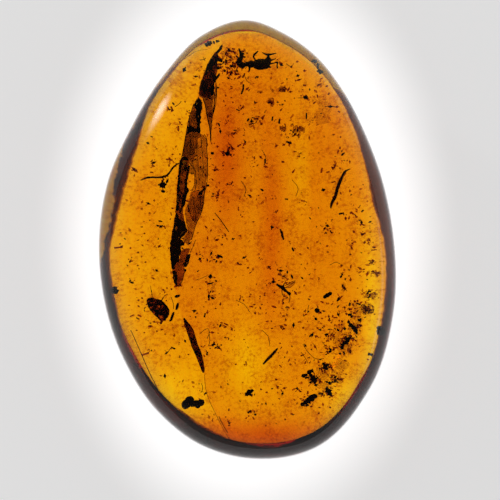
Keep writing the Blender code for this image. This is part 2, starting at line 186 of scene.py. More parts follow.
# Ant: place, half length, half width, half height and turn of each rounded part
ANT_PARTS = (
    ((260.6, 64.8), (0.52, 0.39, 0.36), 0),
    ((265.2, 64.6), (0.34, 0.34, 0.29), 10),
    ((268.0, 61.0), (0.24, 0.22, 0.21), 0),
    ((254.4, 64.2), (0.13, 0.17, 0.17), 0),
    ((251.3, 64.5), (0.24, 0.25, 0.22), 20),
    ((247.6, 64.6), (0.25, 0.17, 0.19), 5),
    ((244.6, 65.0), (0.18, 0.13, 0.16), 0),
    ((241.4, 65.2), (0.29, 0.22, 0.22), 150),
    ((239.4, 60.8), (0.24, 0.17, 0.18), 70),
    ((240.9, 66.9), (0.1, 0.08, 0.09), 0),
)
ANT_LEGS = (
    ((0.11, 0.14, 0.08, 0.05), ((241.2, 59.5), (241.6, 55.7), (240.3, 52.2), (238.9, 48.9))),
    ((0.05, 0.06, 0.08, 0.05), ((255.5, 60.6), (253.8, 57.6), (254.4, 55.2), (258.3, 51.5))),
    ((0.07, 0.05, 0.03), ((270.4, 60.8), (273.4, 60.1), (276.2, 58.8))),
    ((0.06, 0.05, 0.06, 0.05, 0.07), ((268.6, 64.6), (273.9, 63.5), (277.6, 62.7),
                                         (277.1, 65.4), (277.4, 69.0))),
    ((0.08, 0.07, 0.05), ((249.5, 66.4), (249.6, 69.0), (249.3, 71.4))),
    ((0.1, 0.06), ((267.6, 66.2), (271.0, 68.0))),
    ((0.08, 0.06, 0.03), ((239.8, 60.4), (237.0, 61.9), (235.6, 63.6))),
    ((0.06, 0.11, 0.06), ((268.0, 59.8), (268.3, 57.4), (268.4, 55.4))),
    ((0.1, 0.06, 0.03), ((268.3, 55.2), (265.4, 54.6), (262.3, 52.8))),
    ((0.09, 0.06, 0.03), ((268.3, 55.2), (272.4, 54.6), (276.6, 53.6))),
    ((0.05, 0.03), ((239.0, 59.6), (236.4, 56.6))),
)
ANT_RINGS = 4

# Beetle: its edge as seen, its middle, its half height, its head and its limbs
BEETLE_EDGE = (
    (147.2, 303.0), (147.6, 299.8), (149.6, 297.6), (152.8, 297.4), (156.6, 298.8),
    (161.6, 299.8), (164.6, 302.6), (167.6, 305.8), (169.9, 309.9), (169.8, 313.7),
    (167.9, 317.6), (165.3, 320.3), (162.6, 321.4), (160.4, 320.8), (158.2, 318.2),
    (153.9, 314.3), (150.1, 309.8), (148.0, 306.0),
)
BEETLE_MIDDLE = (159.2, 309.4)
BEETLE_HALF = 0.36
BEETLE_HEAD = ((150.4, 300.9), (0.23, 0.21, 0.24), -47)
BEETLE_LIMBS = (
    ((0.1, 0.08, 0.07), ((162.4, 319.4), (161.6, 322.0), (160.4, 323.6))),
    ((0.045, 0.03, 0.02), ((161.6, 301.0), (165.0, 295.6), (168.6, 294.0))),
    ((0.03, 0.03, 0.02), ((152.6, 299.0), (152.0, 292.8), (150.4, 285.0))),
    ((0.025, 0.025, 0.025, 0.02), ((148.6, 306.0), (144.4, 308.4), (145.9, 311.8),
                                   (150.2, 310.6))),
)

# Midge, with its two wings' edges, their lift and thickness in mm, and each vein's half widths
# and the corner of the edge that it bends by
MIDGE_PARTS = (
    ((282.6, 287.6), (0.2, 0.15, 0.15), -37),
    ((279.4, 285.9), (0.15, 0.1, 0.1), -35),
    ((277.4, 284.6), (0.09, 0.08, 0.08), 0),
    ((284.9, 290.0), (0.16, 0.12, 0.11), -40),
    ((287.2, 291.8), (0.16, 0.08, 0.09), -40),
    ((289.1, 293.4), (0.14, 0.12, 0.11), -30),
)
MIDGE_LEGS = (
    ((0.06, 0.04), ((283.0, 286.6), (284.5, 283.2))),
    ((0.035, 0.03, 0.025), ((282.0, 288.8), (282.7, 294.8), (287.4, 297.6))),
    ((0.04, 0.03, 0.03), ((289.4, 294.2), (290.0, 297.0), (288.9, 302.8))),
    ((0.03, 0.025), ((284.6, 283.4), (285.8, 280.4))),
)
MIDGE_WINGS = (
    ((284.6, 285.6), (288.2, 283.2), (291.6, 281.6), (295.8, 280.6), (294.8, 282.6),
     (291.2, 283.6), (287.6, 285.2)),
    ((284.8, 287.6), (288.8, 285.8), (291.6, 283.9), (295.4, 282.0), (294.2, 284.8),
     (290.8, 287.2), (288.0, 288.0)),
)
WING_LIFT = 0.03
WING_THICKNESS = 0.03
WING_VEINS = (((0.016, 0.016, 0.012), 2), ((0.012, 0.012, 0.01), 5))

# Bark films: their thickness in mm, and the clear brown skins, black crusts and thicker strips,
# each as its edge in picture points
FILM_THICKNESS = 0.1
UPPER_SKINS = (
    ((223.1, 44.5), (219.0, 48.9), (215.0, 53.3), (211.7, 58.5), (208.7, 63.6), (205.8, 70.2),
     (203.2, 76.8), (201.0, 83.4), (199.2, 90.8), (198.5, 95.9), (203.2, 99.6), (205.4, 105.4),
     (206.5, 112.8), (208.4, 121.6), (210.2, 130.4), (211.0, 142.6), (211.3, 130.4),
     (212.0, 121.6), (212.6, 112.0), (213.4, 103.0), (214.6, 92.0), (214.8, 84.0),
     (212.9, 76.0), (214.8, 72.0), (216.6, 66.0), (218.0, 62.0), (218.6, 57.7), (218.4, 54.0),
     (221.6, 50.0)),
    ((215.3, 84.0), (215.2, 92.0), (214.2, 103.0), (213.2, 114.2), (215.3, 106.4),
     (216.6, 98.0), (217.1, 88.0), (216.2, 80.0)),
)
UPPER_CRUSTS = (
    ((223.1, 44.5), (222.0, 49.4), (219.2, 52.6), (216.6, 52.6), (219.0, 48.7)),
    ((214.4, 58.5), (216.0, 60.9), (219.0, 62.0), (222.5, 63.0), (223.0, 61.2), (221.2, 59.4),
     (219.0, 58.3), (216.6, 57.7)),
    ((215.0, 53.3), (213.2, 57.0), (214.8, 63.6), (213.0, 68.2), (210.8, 70.8),
     (208.4, 72.6), (206.6, 75.4), (204.6, 76.0), (205.8, 70.2), (208.7, 63.6), (211.7, 58.5)),
    ((213.4, 72.0), (215.1, 77.0), (218.6, 74.2), (220.7, 73.7), (219.1, 77.1), (216.6, 80.2),
     (214.9, 82.6), (213.4, 79.4), (211.9, 75.0)),
)
LOWER_SKINS = (
    ((198.5, 95.9), (194.4, 104.0), (191.5, 112.0), (189.3, 119.4), (187.5, 127.4),
     (186.0, 136.2), (183.8, 149.5), (182.3, 155.6), (186.0, 158.2), (189.6, 162.8),
     (188.9, 172.6), (190.4, 173.2), (192.5, 172.4), (194.8, 175.7), (194.4, 183.4),
     (193.2, 188.5), (191.0, 191.6), (189.8, 197.6), (187.6, 203.8), (186.0, 208.0),
     (185.0, 214.0), (186.0, 222.0), (187.8, 228.8), (188.0, 232.0), (185.4, 235.2),
     (182.4, 238.2), (184.6, 242.0), (187.8, 245.4), (190.4, 242.0), (192.0, 239.4),
     (194.4, 230.6), (196.4, 224.2), (198.9, 219.1), (201.5, 212.7),
     (203.4, 206.3), (204.3, 199.3), (204.6, 192.9), (206.9, 185.9), (207.5, 178.3),
     (207.8, 170.6), (207.5, 159.1), (206.9, 149.6), (207.0, 140.0), (204.0, 135.0),
     (200.7, 134.0), (200.3, 125.2), (201.0, 114.2), (202.5, 108.4), (202.9, 102.5)),
    ((191.3, 192.9), (195.7, 191.0), (199.5, 190.4), (202.1, 192.9), (204.0, 196.1),
     (203.4, 206.3), (200.8, 214.0), (195.7, 223.5), (191.9, 220.4), (188.4, 211.4),
     (187.8, 205.0), (190.0, 199.3)),
    ((174.8, 261.0), (179.8, 259.4), (181.0, 251.8), (184.5, 248.6), (189.4, 248.0),
     (190.0, 252.0), (187.0, 256.4), (184.4, 266.1), (186.4, 270.4), (183.9, 275.7),
     (183.0, 280.0), (180.6, 284.3), (178.6, 286.8), (175.9, 285.1), (173.4, 278.6),
     (172.2, 270.0)),
    ((189.4, 119.4), (191.6, 112.0), (194.6, 104.6), (198.8, 102.4), (200.4, 108.0),
     (200.4, 116.0), (199.8, 125.0), (199.0, 131.4), (194.0, 133.0), (188.0, 130.4)),
    ((187.2, 130.4), (193.0, 129.4), (200.2, 130.6), (201.6, 136.0), (198.0, 139.6),
     (199.2, 146.0), (195.4, 150.0), (195.0, 157.0), (192.6, 165.0), (190.4, 161.4),
     (186.6, 158.6), (182.2, 156.4), (183.6, 149.0), (185.8, 137.4)),
)
LOWER_FINISH = (("plain", 0.0), ("plain", 0.1), ("red", 0.0), ("middle", 0.1), ("middle", 0.1))
BARK_STRIPS = (
    ((181.9, 157.2), (185.0, 156.0), (187.9, 157.4), (190.0, 163.0), (189.4, 167.4),
     (189.0, 174.4), (187.4, 180.8), (187.5, 187.2), (189.4, 190.4), (187.4, 193.6),
     (186.1, 200.0), (184.9, 205.7), (183.4, 208.0), (183.3, 213.0), (184.2, 218.4),
     (185.5, 222.3), (186.4, 226.0), (176.0, 232.0), (173.6, 226.0), (174.5, 222.3),
     (175.9, 214.0), (176.7, 203.8), (176.9, 194.2), (177.9, 181.5), (178.9, 170.6),
     (179.9, 161.4)),
    ((215.0, 53.3), (218.0, 52.6), (219.0, 58.0), (217.6, 63.0), (218.0, 70.0), (216.0, 77.0),
     (214.8, 84.0), (214.4, 94.0), (210.0, 99.0), (204.0, 98.0), (199.0, 95.0), (199.4, 90.4),
     (201.0, 83.4), (203.2, 76.8), (205.8, 70.2), (208.7, 63.6), (211.7, 58.5)),
)
LOWER_CRUSTS = (
    ((198.5, 97.6), (200.7, 99.6), (202.7, 102.5), (202.3, 108.4), (200.8, 114.2),
     (200.5, 120.8), (200.1, 125.2), (200.7, 129.8), (200.6, 134.2), (197.2, 132.2),
     (192.6, 131.3), (189.6, 132.8), (187.3, 134.4), (187.9, 127.6), (190.0, 124.5),
     (192.8, 127.4), (196.8, 128.8), (197.5, 125.0), (196.9, 121.0), (195.9, 115.7),
     (196.2, 109.1), (194.6, 106.6), (194.9, 103.4), (196.6, 99.9)),
    ((176.2, 213.0), (178.2, 214.6), (179.4, 219.0), (182.0, 221.0), (184.6, 221.4),
     (187.6, 229.4), (187.4, 232.4), (184.7, 235.2), (181.7, 237.4),
     (181.1, 239.4), (183.9, 241.9), (184.7, 244.6), (182.6, 245.8), (181.1, 247.0),
     (181.5, 251.8), (179.7, 255.8), (179.9, 260.2), (176.3, 262.8), (174.9, 266.7),
     (174.4, 269.1), (172.0, 268.1), (170.9, 259.4), (170.4, 251.8), (170.4, 245.1),
     (171.3, 238.4), (172.6, 230.2), (174.5, 222.3)),
    ((180.0, 161.4), (182.0, 157.4), (184.6, 156.4), (187.4, 157.6), (188.8, 161.4),
     (186.4, 160.6), (183.6, 160.0), (181.8, 163.6), (180.8, 171.6), (179.8, 181.6),
     (179.0, 194.2), (178.6, 203.8), (177.8, 211.0), (176.2, 212.0), (176.9, 203.8),
     (177.1, 194.2), (178.1, 181.5), (179.1, 170.6)),
    ((188.8, 164.6), (189.8, 166.4), (188.8, 174.6), (187.2, 180.8), (187.4, 187.2),
     (189.2, 190.4), (187.0, 193.8), (185.8, 200.4), (184.4, 205.4), (182.4, 208.4),
     (180.8, 214.4), (179.6, 213.0), (181.2, 206.6), (183.4, 201.0), (184.6, 193.6),
     (185.0, 186.4), (185.4, 179.4), (187.0, 172.4)),
    ((198.3, 194.2), (200.8, 190.4), (203.4, 187.8), (205.6, 187.0), (204.0, 191.2),
     (202.1, 194.9), (199.5, 195.2)),
    ((187.3, 254.4), (190.5, 254.0), (190.5, 258.0), (189.2, 260.6), (188.2, 264.2),
     (186.3, 267.0), (184.0, 267.0), (183.6, 264.2), (185.3, 260.4), (186.1, 257.0)),
    ((183.9, 268.3), (186.1, 269.3), (186.4, 271.5), (184.9, 271.2), (184.0, 269.9)),
    ((172.2, 271.5), (175.3, 270.1), (176.9, 272.8), (177.9, 278.6), (177.2, 281.7),
     (177.8, 285.6), (175.8, 284.9), (174.4, 282.0), (172.9, 277.6)),
)
CRUST_PATCH = {"thickness": FILM_THICKNESS * 1.4, "detail": 0.03, "lift": 0.04,
               "lumps": (0.12, 0.14)}

# Torn edges of the films: half width in mm and points
FILM_RIMS = (
    (0.03, ((203.2, 99.6), (205.4, 105.4), (206.5, 112.8), (208.4, 121.6), (210.2, 130.4),
            (211.0, 142.6))),
    (0.025, ((214.6, 92.0), (214.4, 103.0), (212.9, 112.0), (212.0, 121.6), (211.3, 130.4),
             (211.0, 141.0))),
    (0.025, ((217.1, 86.4), (216.8, 95.2), (215.7, 105.4), (213.4, 114.2))),
    (0.03, ((194.4, 104.0), (191.5, 112.0), (189.3, 119.4), (187.5, 127.4), (186.0, 136.2),
            (183.8, 149.5), (181.9, 157.2))),
    (0.025, ((204.4, 134.8), (207.1, 140.0), (207.0, 149.6), (207.6, 159.1), (207.9, 170.6),
             (207.6, 178.3), (206.8, 185.9), (204.7, 192.9), (204.3, 199.3), (203.4, 206.3),
             (201.5, 212.7), (198.9, 219.1), (196.4, 224.2), (194.4, 230.6), (191.9, 239.6))),
    (0.02, ((190.0, 173.8), (192.5, 172.5), (194.9, 175.7), (194.5, 183.4), (193.2, 188.5),
            (190.6, 190.8))),
    (0.02, ((189.4, 163.0), (193.0, 167.0), (195.6, 172.0), (196.4, 182.0), (195.4, 190.4))),
    (0.02, ((191.3, 192.9), (195.7, 191.0), (199.5, 190.4))),
    (0.02, ((188.0, 205.0), (190.4, 213.0), (195.6, 223.4))),
    (0.015, ((193.0, 196.0), (194.0, 204.0), (196.0, 212.0), (196.0, 220.0))),
    (0.015, ((198.0, 195.0), (197.0, 203.0), (199.0, 210.0))),
    (0.015, ((201.6, 196.0), (200.6, 203.0), (201.4, 209.0))),
    (0.02, ((189.0, 120.4), (190.8, 126.0), (194.0, 127.0))),
    (0.02, ((189.8, 134.0), (190.8, 146.0), (190.0, 156.0))),
    (0.015, ((196.0, 136.0), (197.0, 150.0), (198.4, 166.0), (199.0, 180.0))),
    (0.015, ((201.0, 137.0), (202.4, 152.0), (203.4, 166.0), (202.8, 176.0))),
    (0.025, ((185.6, 270.4), (183.9, 275.7), (183.0, 280.0), (180.6, 284.3), (178.9, 286.8))),
)

# Painted glints: pale flecks on the crust that paint its small bright reflections, as x, y, half
# length and half width in picture points, turn in degrees
GLINTS = (
    (184.6, 162.6, 1.6, 1.1, -40), (183.6, 166.0, 0.8, 1.3, 20), (176.4, 228.4, 1.0, 2.0, -12),
    (181.9, 170.6, 0.4, 2.6, -4), (181.0, 178.4, 0.4, 2.4, 0), (182.6, 232.8, 2.6, 0.35, 50),
    (179.3, 237.6, 0.5, 0.9, 0), (178.2, 199.0, 0.35, 3.2, 2), (180.2, 186.6, 0.4, 2.0, 6),
    (198.6, 116.8, 0.4, 1.0, 0), (197.2, 103.8, 0.7, 0.8, 0), (208.0, 71.6, 0.5, 0.7, 0),
    (209.3, 78.2, 0.35, 1.2, 12), (212.2, 58.8, 0.5, 0.5, 0), (187.4, 263.0, 0.4, 1.3, -24),
    (174.6, 277.8, 0.4, 1.0, 10),
)

# Long plant pieces: points and half widths in mm
NEEDLE = (
    (184.2, 318.0, 0.04), (185.6, 321.4, 0.11), (187.8, 325.6, 0.19), (190.6, 331.6, 0.23),
    (192.8, 338.6, 0.22), (195.2, 346.0, 0.22), (198.4, 353.4, 0.22), (201.0, 361.4, 0.17),
    (202.8, 368.0, 0.13), (203.6, 372.4, 0.06),
)
TWIG = (
    (350.0, 169.0, 0.03), (347.0, 170.4, 0.05), (344.6, 172.2, 0.09), (341.8, 177.4, 0.09),
    (339.4, 182.6, 0.12), (337.0, 189.6, 0.11), (335.0, 197.0, 0.11), (332.4, 201.6, 0.1),
    (331.0, 205.4, 0.08), (330.6, 208.6, 0.04),
)
ROOTLET = (
    (141.0, 180.4, 0.03), (144.6, 178.9, 0.05), (148.4, 177.7, 0.07), (153.0, 177.5, 0.06),
    (158.0, 177.6, 0.06), (163.2, 177.0, 0.08), (167.4, 175.4, 0.07), (170.2, 172.2, 0.06),
    (173.4, 167.8, 0.06), (177.0, 164.6, 0.05), (181.4, 162.8, 0.03),
)

# Star-shaped hair: its middle and its foot, its rays' bearings and lengths, and its stalk
STELLATE_MIDDLE = (163.0, 185.0)
STELLATE_PARTS = ((STELLATE_MIDDLE, (0.2, 0.17, 0.1), 0), ((163.4, 191.4), (0.15, 0.1, 0.09), -15))
STELLATE_STALK = ((0.03, 0.03), ((163.2, 188.0), (163.4, 191.0)))
STELLATE_RAYS = (
    (12, 4.4), (52, 3.4), (96, 4.6), (141, 3.2), (178, 4.8), (222, 4.0), (262, 3.2), (305, 4.4),
)

# Rods: half width in mm and points
RODS = {
    "rod_straight": (0.09, ((263.2, 364.0), (267.0, 359.6), (270.8, 356.0), (274.6, 351.6),
                            (277.8, 348.2))),
    "rod_upper": (0.085, ((280.2, 229.2), (281.8, 232.6), (282.6, 236.2), (283.8, 239.8))),
    "rod_by_film": (0.11, ((175.0, 296.8), (177.2, 296.2), (180.2, 295.2))),
    "rod_by_beetle": (0.1, ((178.2, 302.8), (177.6, 306.0), (176.5, 309.8))),
    "rod_bent": (0.085, ((174.2, 312.0), (173.0, 314.8), (171.9, 318.0), (171.2, 319.8),
                         (169.4, 320.9))),
}

# Clumps of crumbs: blobs at x, y with radius, in picture points
CLUMPS = {
    "dropping_two_lobed": ((186.6, 403.6, 4.2), (189.6, 400.2, 4.0), (186.4, 406.2, 2.4),
                           (193.4, 403.6, 2.6), (196.8, 403.4, 3.6), (201.0, 402.4, 3.2),
                           (198.0, 405.6, 2.2), (202.6, 401.0, 1.6)),
    "pellet_round": ((317.2, 310.3, 2.7),),
    "pellet_edge": ((380.0, 328.2, 2.3), (380.2, 331.4, 2.6), (379.6, 333.6, 1.8)),
    "pellet_oval": ((325.0, 296.6, 1.9), (327.4, 295.0, 2.2), (330.0, 293.4, 1.9)),
    "crumb_lower_middle": ((249.2, 392.0, 2.8), (246.8, 393.8, 1.9), (252.0, 390.4, 1.7),
                           (250.8, 394.6, 1.2)),
    "crumb_swarm_large": ((303.4, 375.6, 1.9), (306.2, 374.6, 1.4), (309.2, 371.8, 2.2),
                          (312.2, 371.0, 1.3), (310.6, 374.8, 1.6), (312.8, 377.6, 2.6),
                          (314.8, 380.6, 2.4), (317.2, 377.6, 1.2), (308.0, 377.2, 0.9)),
    "crumb_swarm_long": ((302.4, 404.0, 1.9), (305.4, 402.0, 2.1), (308.2, 399.6, 2.3),
                         (311.4, 397.8, 3.1), (314.6, 395.8, 2.3), (309.4, 402.4, 1.3)),
    "crumb_swarm_small": ((327.0, 388.8, 1.8), (328.8, 390.8, 2.0), (330.0, 393.6, 1.9),
                          (326.2, 391.4, 1.1)),
    "crumb_curved": ((348.6, 322.0, 1.5), (350.6, 325.0, 2.2), (353.4, 327.4, 2.0),
                     (355.2, 330.0, 2.0), (356.4, 332.8, 1.2)),
    "crumb_fuzzy": ((349.6, 337.6, 1.5), (347.4, 340.2, 2.0), (345.0, 342.6, 1.8),
                    (342.6, 344.6, 1.6), (342.4, 348.0, 1.4), (343.6, 352.0, 1.0),
                    (340.6, 346.8, 1.1)),
    "crumb_pale": ((367.2, 308.6, 5.3), (363.4, 306.4, 2.4), (370.6, 310.8, 2.3),
                   (368.6, 304.2, 1.9), (364.4, 312.4, 1.9)),
    "crumb_middle": ((323.4, 363.4, 1.4), (325.2, 366.0, 2.0), (327.4, 364.6, 1.4),
                     (326.4, 368.4, 1.4), (323.0, 367.6, 1.1), (329.0, 367.2, 1.0)),
    "crumb_streak": ((329.6, 382.8, 1.7), (332.6, 381.8, 1.1), (335.4, 380.8, 1.5),
                     (338.0, 378.6, 1.0)),
    "crumb_top": ((206.8, 45.4, 1.5), (209.0, 44.2, 1.6), (211.2, 43.0, 1.2), (214.2, 43.0, 0.9),
                  (217.0, 42.0, 1.1), (218.6, 41.4, 0.8)),
    "crumb_top_edge": ((312.9, 61.0, 1.3), (315.6, 62.0, 1.4), (317.8, 65.1, 1.2),
                       (318.6, 71.2, 1.5), (321.0, 72.6, 1.8), (317.6, 68.0, 1.1)),
    "crumb_left_edge": ((115.6, 291.1, 2.0), (114.6, 288.4, 1.7), (116.6, 293.0, 1.1)),
}
CLUMP_DETAIL = 0.025
CLUMP_FINISH = {
    "dropping_two_lobed": "dropping", "pellet_round": "dropping", "pellet_edge": "dropping",
    "pellet_oval": "dropping", "crumb_pale": "pale",
}

# Single grains as seen: x, y, half length and half width in picture points, turn in degrees
GRAINS = (
    (138.9, 300.1, 1.3, 0.8, 20), (142.4, 297.9, 0.9, 0.8, 0), (129.2, 305.2, 0.8, 0.6, 0),
    (132.4, 315.5, 1.6, 0.8, 30), (139.5, 315.5, 2.0, 0.9, -30), (146.5, 319.8, 0.6, 0.5, 0),
    (150.3, 325.8, 1.7, 0.8, 24), (157.1, 331.0, 1.0, 1.0, 0), (165.3, 333.9, 0.8, 0.8, 0),
    (136.8, 330.1, 0.8, 0.7, 0), (144.9, 332.3, 0.8, 0.7, 0), (166.6, 352.9, 2.4, 0.8, 42),
    (188.8, 354.2, 1.1, 0.6, 20), (165.3, 375.7, 1.1, 1.9, 10), (163.9, 290.0, 1.4, 0.9, -35),
    (167.1, 287.9, 0.8, 1.1, -20), (171.9, 288.9, 0.9, 0.9, 0), (166.7, 300.6, 1.1, 0.7, -30),
    (142.4, 298.2, 0.8, 0.8, 0), (213.8, 344.2, 2.0, 1.4, 30), (208.9, 345.3, 0.7, 0.7, 0),
    (207.8, 440.2, 1.5, 1.5, 0), (205.1, 315.0, 0.8, 2.6, -12), (184.6, 70.0, 1.3, 2.4, -30),
    (185.2, 102.0, 0.9, 0.9, 0), (187.6, 112.0, 0.9, 0.7, 0), (190.0, 116.4, 1.1, 1.0, 0),
    (179.8, 119.4, 1.1, 0.8, 0), (182.2, 124.8, 0.8, 0.7, 0), (191.0, 63.4, 0.7, 0.7, 0),
    (232.8, 102.6, 0.9, 0.9, 0), (225.2, 71.2, 1.0, 1.0, 0), (231.4, 73.8, 1.0, 1.3, -30),
    (180.2, 154.4, 1.0, 0.9, 20), (212.9, 153.5, 1.7, 1.5, 0), (228.4, 153.6, 1.6, 2.6, -20),
    (211.6, 143.6, 0.8, 1.0, 0), (219.4, 182.9, 0.9, 1.3, 0), (223.4, 165.8, 1.0, 0.9, 0),
    (172.6, 208.2, 1.1, 0.9, 0), (161.6, 226.4, 2.2, 1.1, 38), (206.6, 227.5, 2.0, 0.8, -45),
    (190.0, 243.4, 2.4, 0.8, 45), (211.6, 253.4, 1.0, 2.6, -25), (219.8, 256.0, 3.2, 1.3, -22),
    (211.9, 257.0, 0.9, 0.8, 0), (217.4, 200.6, 1.2, 0.8, 60), (202.4, 182.4, 1.0, 0.5, -60),
    (220.4, 211.4, 1.4, 0.8, 30), (192.6, 287.0, 0.9, 0.8, 0), (200.2, 288.6, 0.7, 0.7, 0),
    (222.0, 244.6, 0.9, 1.3, -20), (203.5, 247.5, 0.7, 0.6, 0), (210.5, 276.0, 1.9, 2.2, -40),
    (206.4, 281.6, 1.2, 0.8, 30), (211.0, 283.2, 3.0, 0.8, 14), (213.4, 291.4, 1.2, 0.9, 30),
    (209.2, 296.4, 1.1, 2.4, 0), (213.0, 298.0, 2.4, 1.1, -30), (316.1, 318.9, 1.9, 1.2, -45),
    (321.9, 318.2, 1.1, 0.8, 0), (306.1, 314.3, 1.2, 0.8, 20), (319.6, 321.4, 0.5, 0.5, 0),
    (328.9, 316.1, 1.0, 1.6, 0), (329.6, 320.0, 1.4, 1.2, 0), (331.4, 322.4, 0.9, 0.7, 0),
    (334.7, 324.8, 0.9, 0.8, 0), (338.3, 314.3, 1.1, 2.2, 20), (339.3, 320.4, 0.8, 1.0, 0),
    (341.8, 320.9, 1.0, 0.9, 0), (339.4, 324.4, 1.1, 0.9, 0), (341.6, 324.4, 1.0, 0.8, 0),
    (349.5, 304.1, 1.0, 2.1, -18), (344.9, 307.4, 1.1, 1.1, 0), (349.0, 308.7, 0.8, 1.2, 0),
    (346.4, 313.3, 1.2, 0.8, 0), (349.0, 314.6, 1.9, 1.2, -20), (351.0, 311.8, 0.9, 1.0, 0),
    (354.0, 312.8, 1.2, 0.9, 30), (352.6, 315.8, 1.1, 0.8, 0), (355.1, 316.4, 0.8, 1.0, 0),
    (354.4, 301.2, 1.1, 1.1, 20), (357.6, 300.9, 0.9, 1.2, 0), (361.2, 302.2, 1.6, 0.8, 40),
    (359.4, 319.7, 2.0, 1.7, 50), (357.7, 325.0, 1.5, 1.2, -20), (344.9, 328.6, 1.4, 1.5, 0),
    (326.7, 334.2, 1.8, 1.1, 10), (330.8, 338.8, 0.9, 1.4, 0), (330.6, 351.0, 1.6, 1.2, 30),
    (327.9, 352.8, 1.4, 1.0, 20), (333.6, 349.6, 1.3, 0.9, 30), (335.7, 347.4, 1.8, 0.9, 10),
    (343.9, 353.6, 0.8, 1.8, 0), (344.9, 360.2, 1.6, 0.9, -15), (331.6, 367.3, 1.2, 0.6, 0),
    (315.8, 384.7, 1.7, 1.5, 20), (316.1, 388.8, 0.9, 0.7, 20), (307.7, 392.3, 1.0, 1.7, -20),
    (304.6, 396.4, 1.2, 0.7, 20), (321.2, 392.9, 1.0, 0.7, -40), (323.0, 404.1, 0.9, 1.6, 0),
    (319.4, 407.1, 1.1, 0.8, 0), (311.7, 406.1, 1.3, 0.8, 20), (330.3, 407.1, 0.9, 0.8, 0),
    (302.0, 355.1, 2.2, 0.8, 28), (305.1, 334.5, 0.8, 0.6, -20), (311.0, 344.9, 0.8, 0.7, 0),
    (370.4, 354.1, 1.7, 1.5, 30), (367.9, 359.2, 0.9, 0.8, 0), (374.5, 314.1, 0.7, 0.5, 0),
    (350.4, 351.6, 0.6, 2.0, 0), (341.0, 338.4, 0.8, 0.8, 0), (334.2, 334.4, 0.7, 0.7, 0),
    (291.5, 67.4, 0.9, 1.3, -20), (304.5, 71.2, 1.4, 1.2, 0), (297.9, 76.1, 1.6, 1.3, 20),
    (295.6, 81.2, 0.9, 0.9, 0), (297.1, 62.0, 1.1, 0.9, 0), (305.8, 97.5, 1.9, 2.0, 20),
    (284.8, 101.1, 0.9, 0.8, 0), (294.3, 98.5, 0.8, 0.7, 0), (306.3, 116.1, 0.7, 3.6, 0),
    (330.3, 106.9, 2.2, 1.2, 0), (336.9, 107.2, 1.4, 1.2, 0), (338.9, 112.0, 1.2, 0.9, -35),
    (333.8, 135.0, 1.5, 0.7, 10), (340.5, 137.3, 0.9, 0.9, 0), (309.3, 138.1, 0.7, 1.9, 0),
    (326.7, 86.5, 0.9, 1.0, 0), (328.7, 94.2, 0.7, 1.5, -15), (304.4, 85.8, 1.4, 1.0, 0),
    (131.0, 248.0, 0.9, 0.9, 0), (138.5, 252.5, 1.0, 0.9, 0), (132.0, 261.0, 1.2, 0.8, 20),
    (138.0, 265.5, 0.9, 0.8, 0), (146.0, 262.0, 1.0, 0.8, 0), (159.5, 226.0, 1.0, 1.0, 0),
    (142.0, 227.0, 1.0, 0.8, 0), (145.0, 233.5, 0.9, 0.9, 0), (150.0, 213.0, 0.9, 0.9, 0),
    (233.0, 239.0, 1.8, 1.1, 20), (240.5, 236.0, 1.1, 1.0, 0), (244.0, 257.5, 2.4, 1.0, 25),
    (272.0, 227.0, 1.8, 1.6, 0), (327.5, 226.0, 2.0, 1.3, -20), (350.0, 254.5, 1.2, 1.0, 0),
    (327.0, 246.0, 1.5, 0.9, 20), (328.0, 252.0, 1.2, 0.8, 0), (341.5, 265.5, 1.3, 1.0, 0),
    (356.5, 217.0, 1.1, 1.0, 0), (350.5, 213.0, 1.0, 1.2, 0), (349.5, 191.0, 0.9, 1.5, 0),
    (323.0, 190.0, 2.0, 1.6, 20), (283.0, 162.0, 1.5, 1.2, 0), (251.0, 197.0, 1.4, 1.1, 0),
    (283.0, 329.0, 1.6, 0.9, 30), (276.0, 379.0, 1.5, 1.1, 0), (261.0, 389.0, 1.1, 1.0, 0),
    (267.0, 392.0, 1.2, 0.9, 0), (291.5, 413.5, 1.3, 1.0, 0), (285.0, 419.0, 1.0, 0.9, 0),
    (236.0, 364.0, 1.0, 0.9, 0), (337.0, 203.6, 0.8, 1.8, -10), (349.5, 162.0, 0.8, 1.8, 0),
    (273.6, 281.4, 2.0, 1.4, -10), (292.2, 276.6, 1.1, 2.2, 20), (281.1, 270.6, 2.8, 1.0, 0),
    (284.0, 276.2, 1.6, 0.9, 35), (271.2, 321.0, 0.8, 0.8, 0), (274.6, 292.4, 1.1, 0.7, 30),
    (244.6, 75.0, 0.7, 1.6, -15), (243.4, 51.6, 1.0, 0.8, 0), (233.2, 49.4, 1.6, 0.9, 0),
    (228.6, 49.8, 1.0, 0.9, 0), (231.0, 57.6, 1.4, 1.1, 20), (234.6, 67.4, 1.0, 1.5, 0),
    (225.4, 62.4, 0.9, 1.2, 0), (231.2, 98.0, 0.8, 0.7, 0), (243.6, 76.6, 0.7, 1.6, 0),
    (248.8, 71.8, 1.0, 0.9, 0), (225.8, 95.8, 0.8, 1.2, 0), (243.4, 107.2, 1.0, 1.8, 0),
    (308.0, 248.0, 1.6, 0.8, -50), (332.0, 168.0, 0.9, 1.6, 20), (344.0, 288.0, 1.0, 1.8, 20),
    (257.0, 119.0, 1.8, 0.8, 40), (251.4, 124.4, 1.2, 0.8, 0),
)
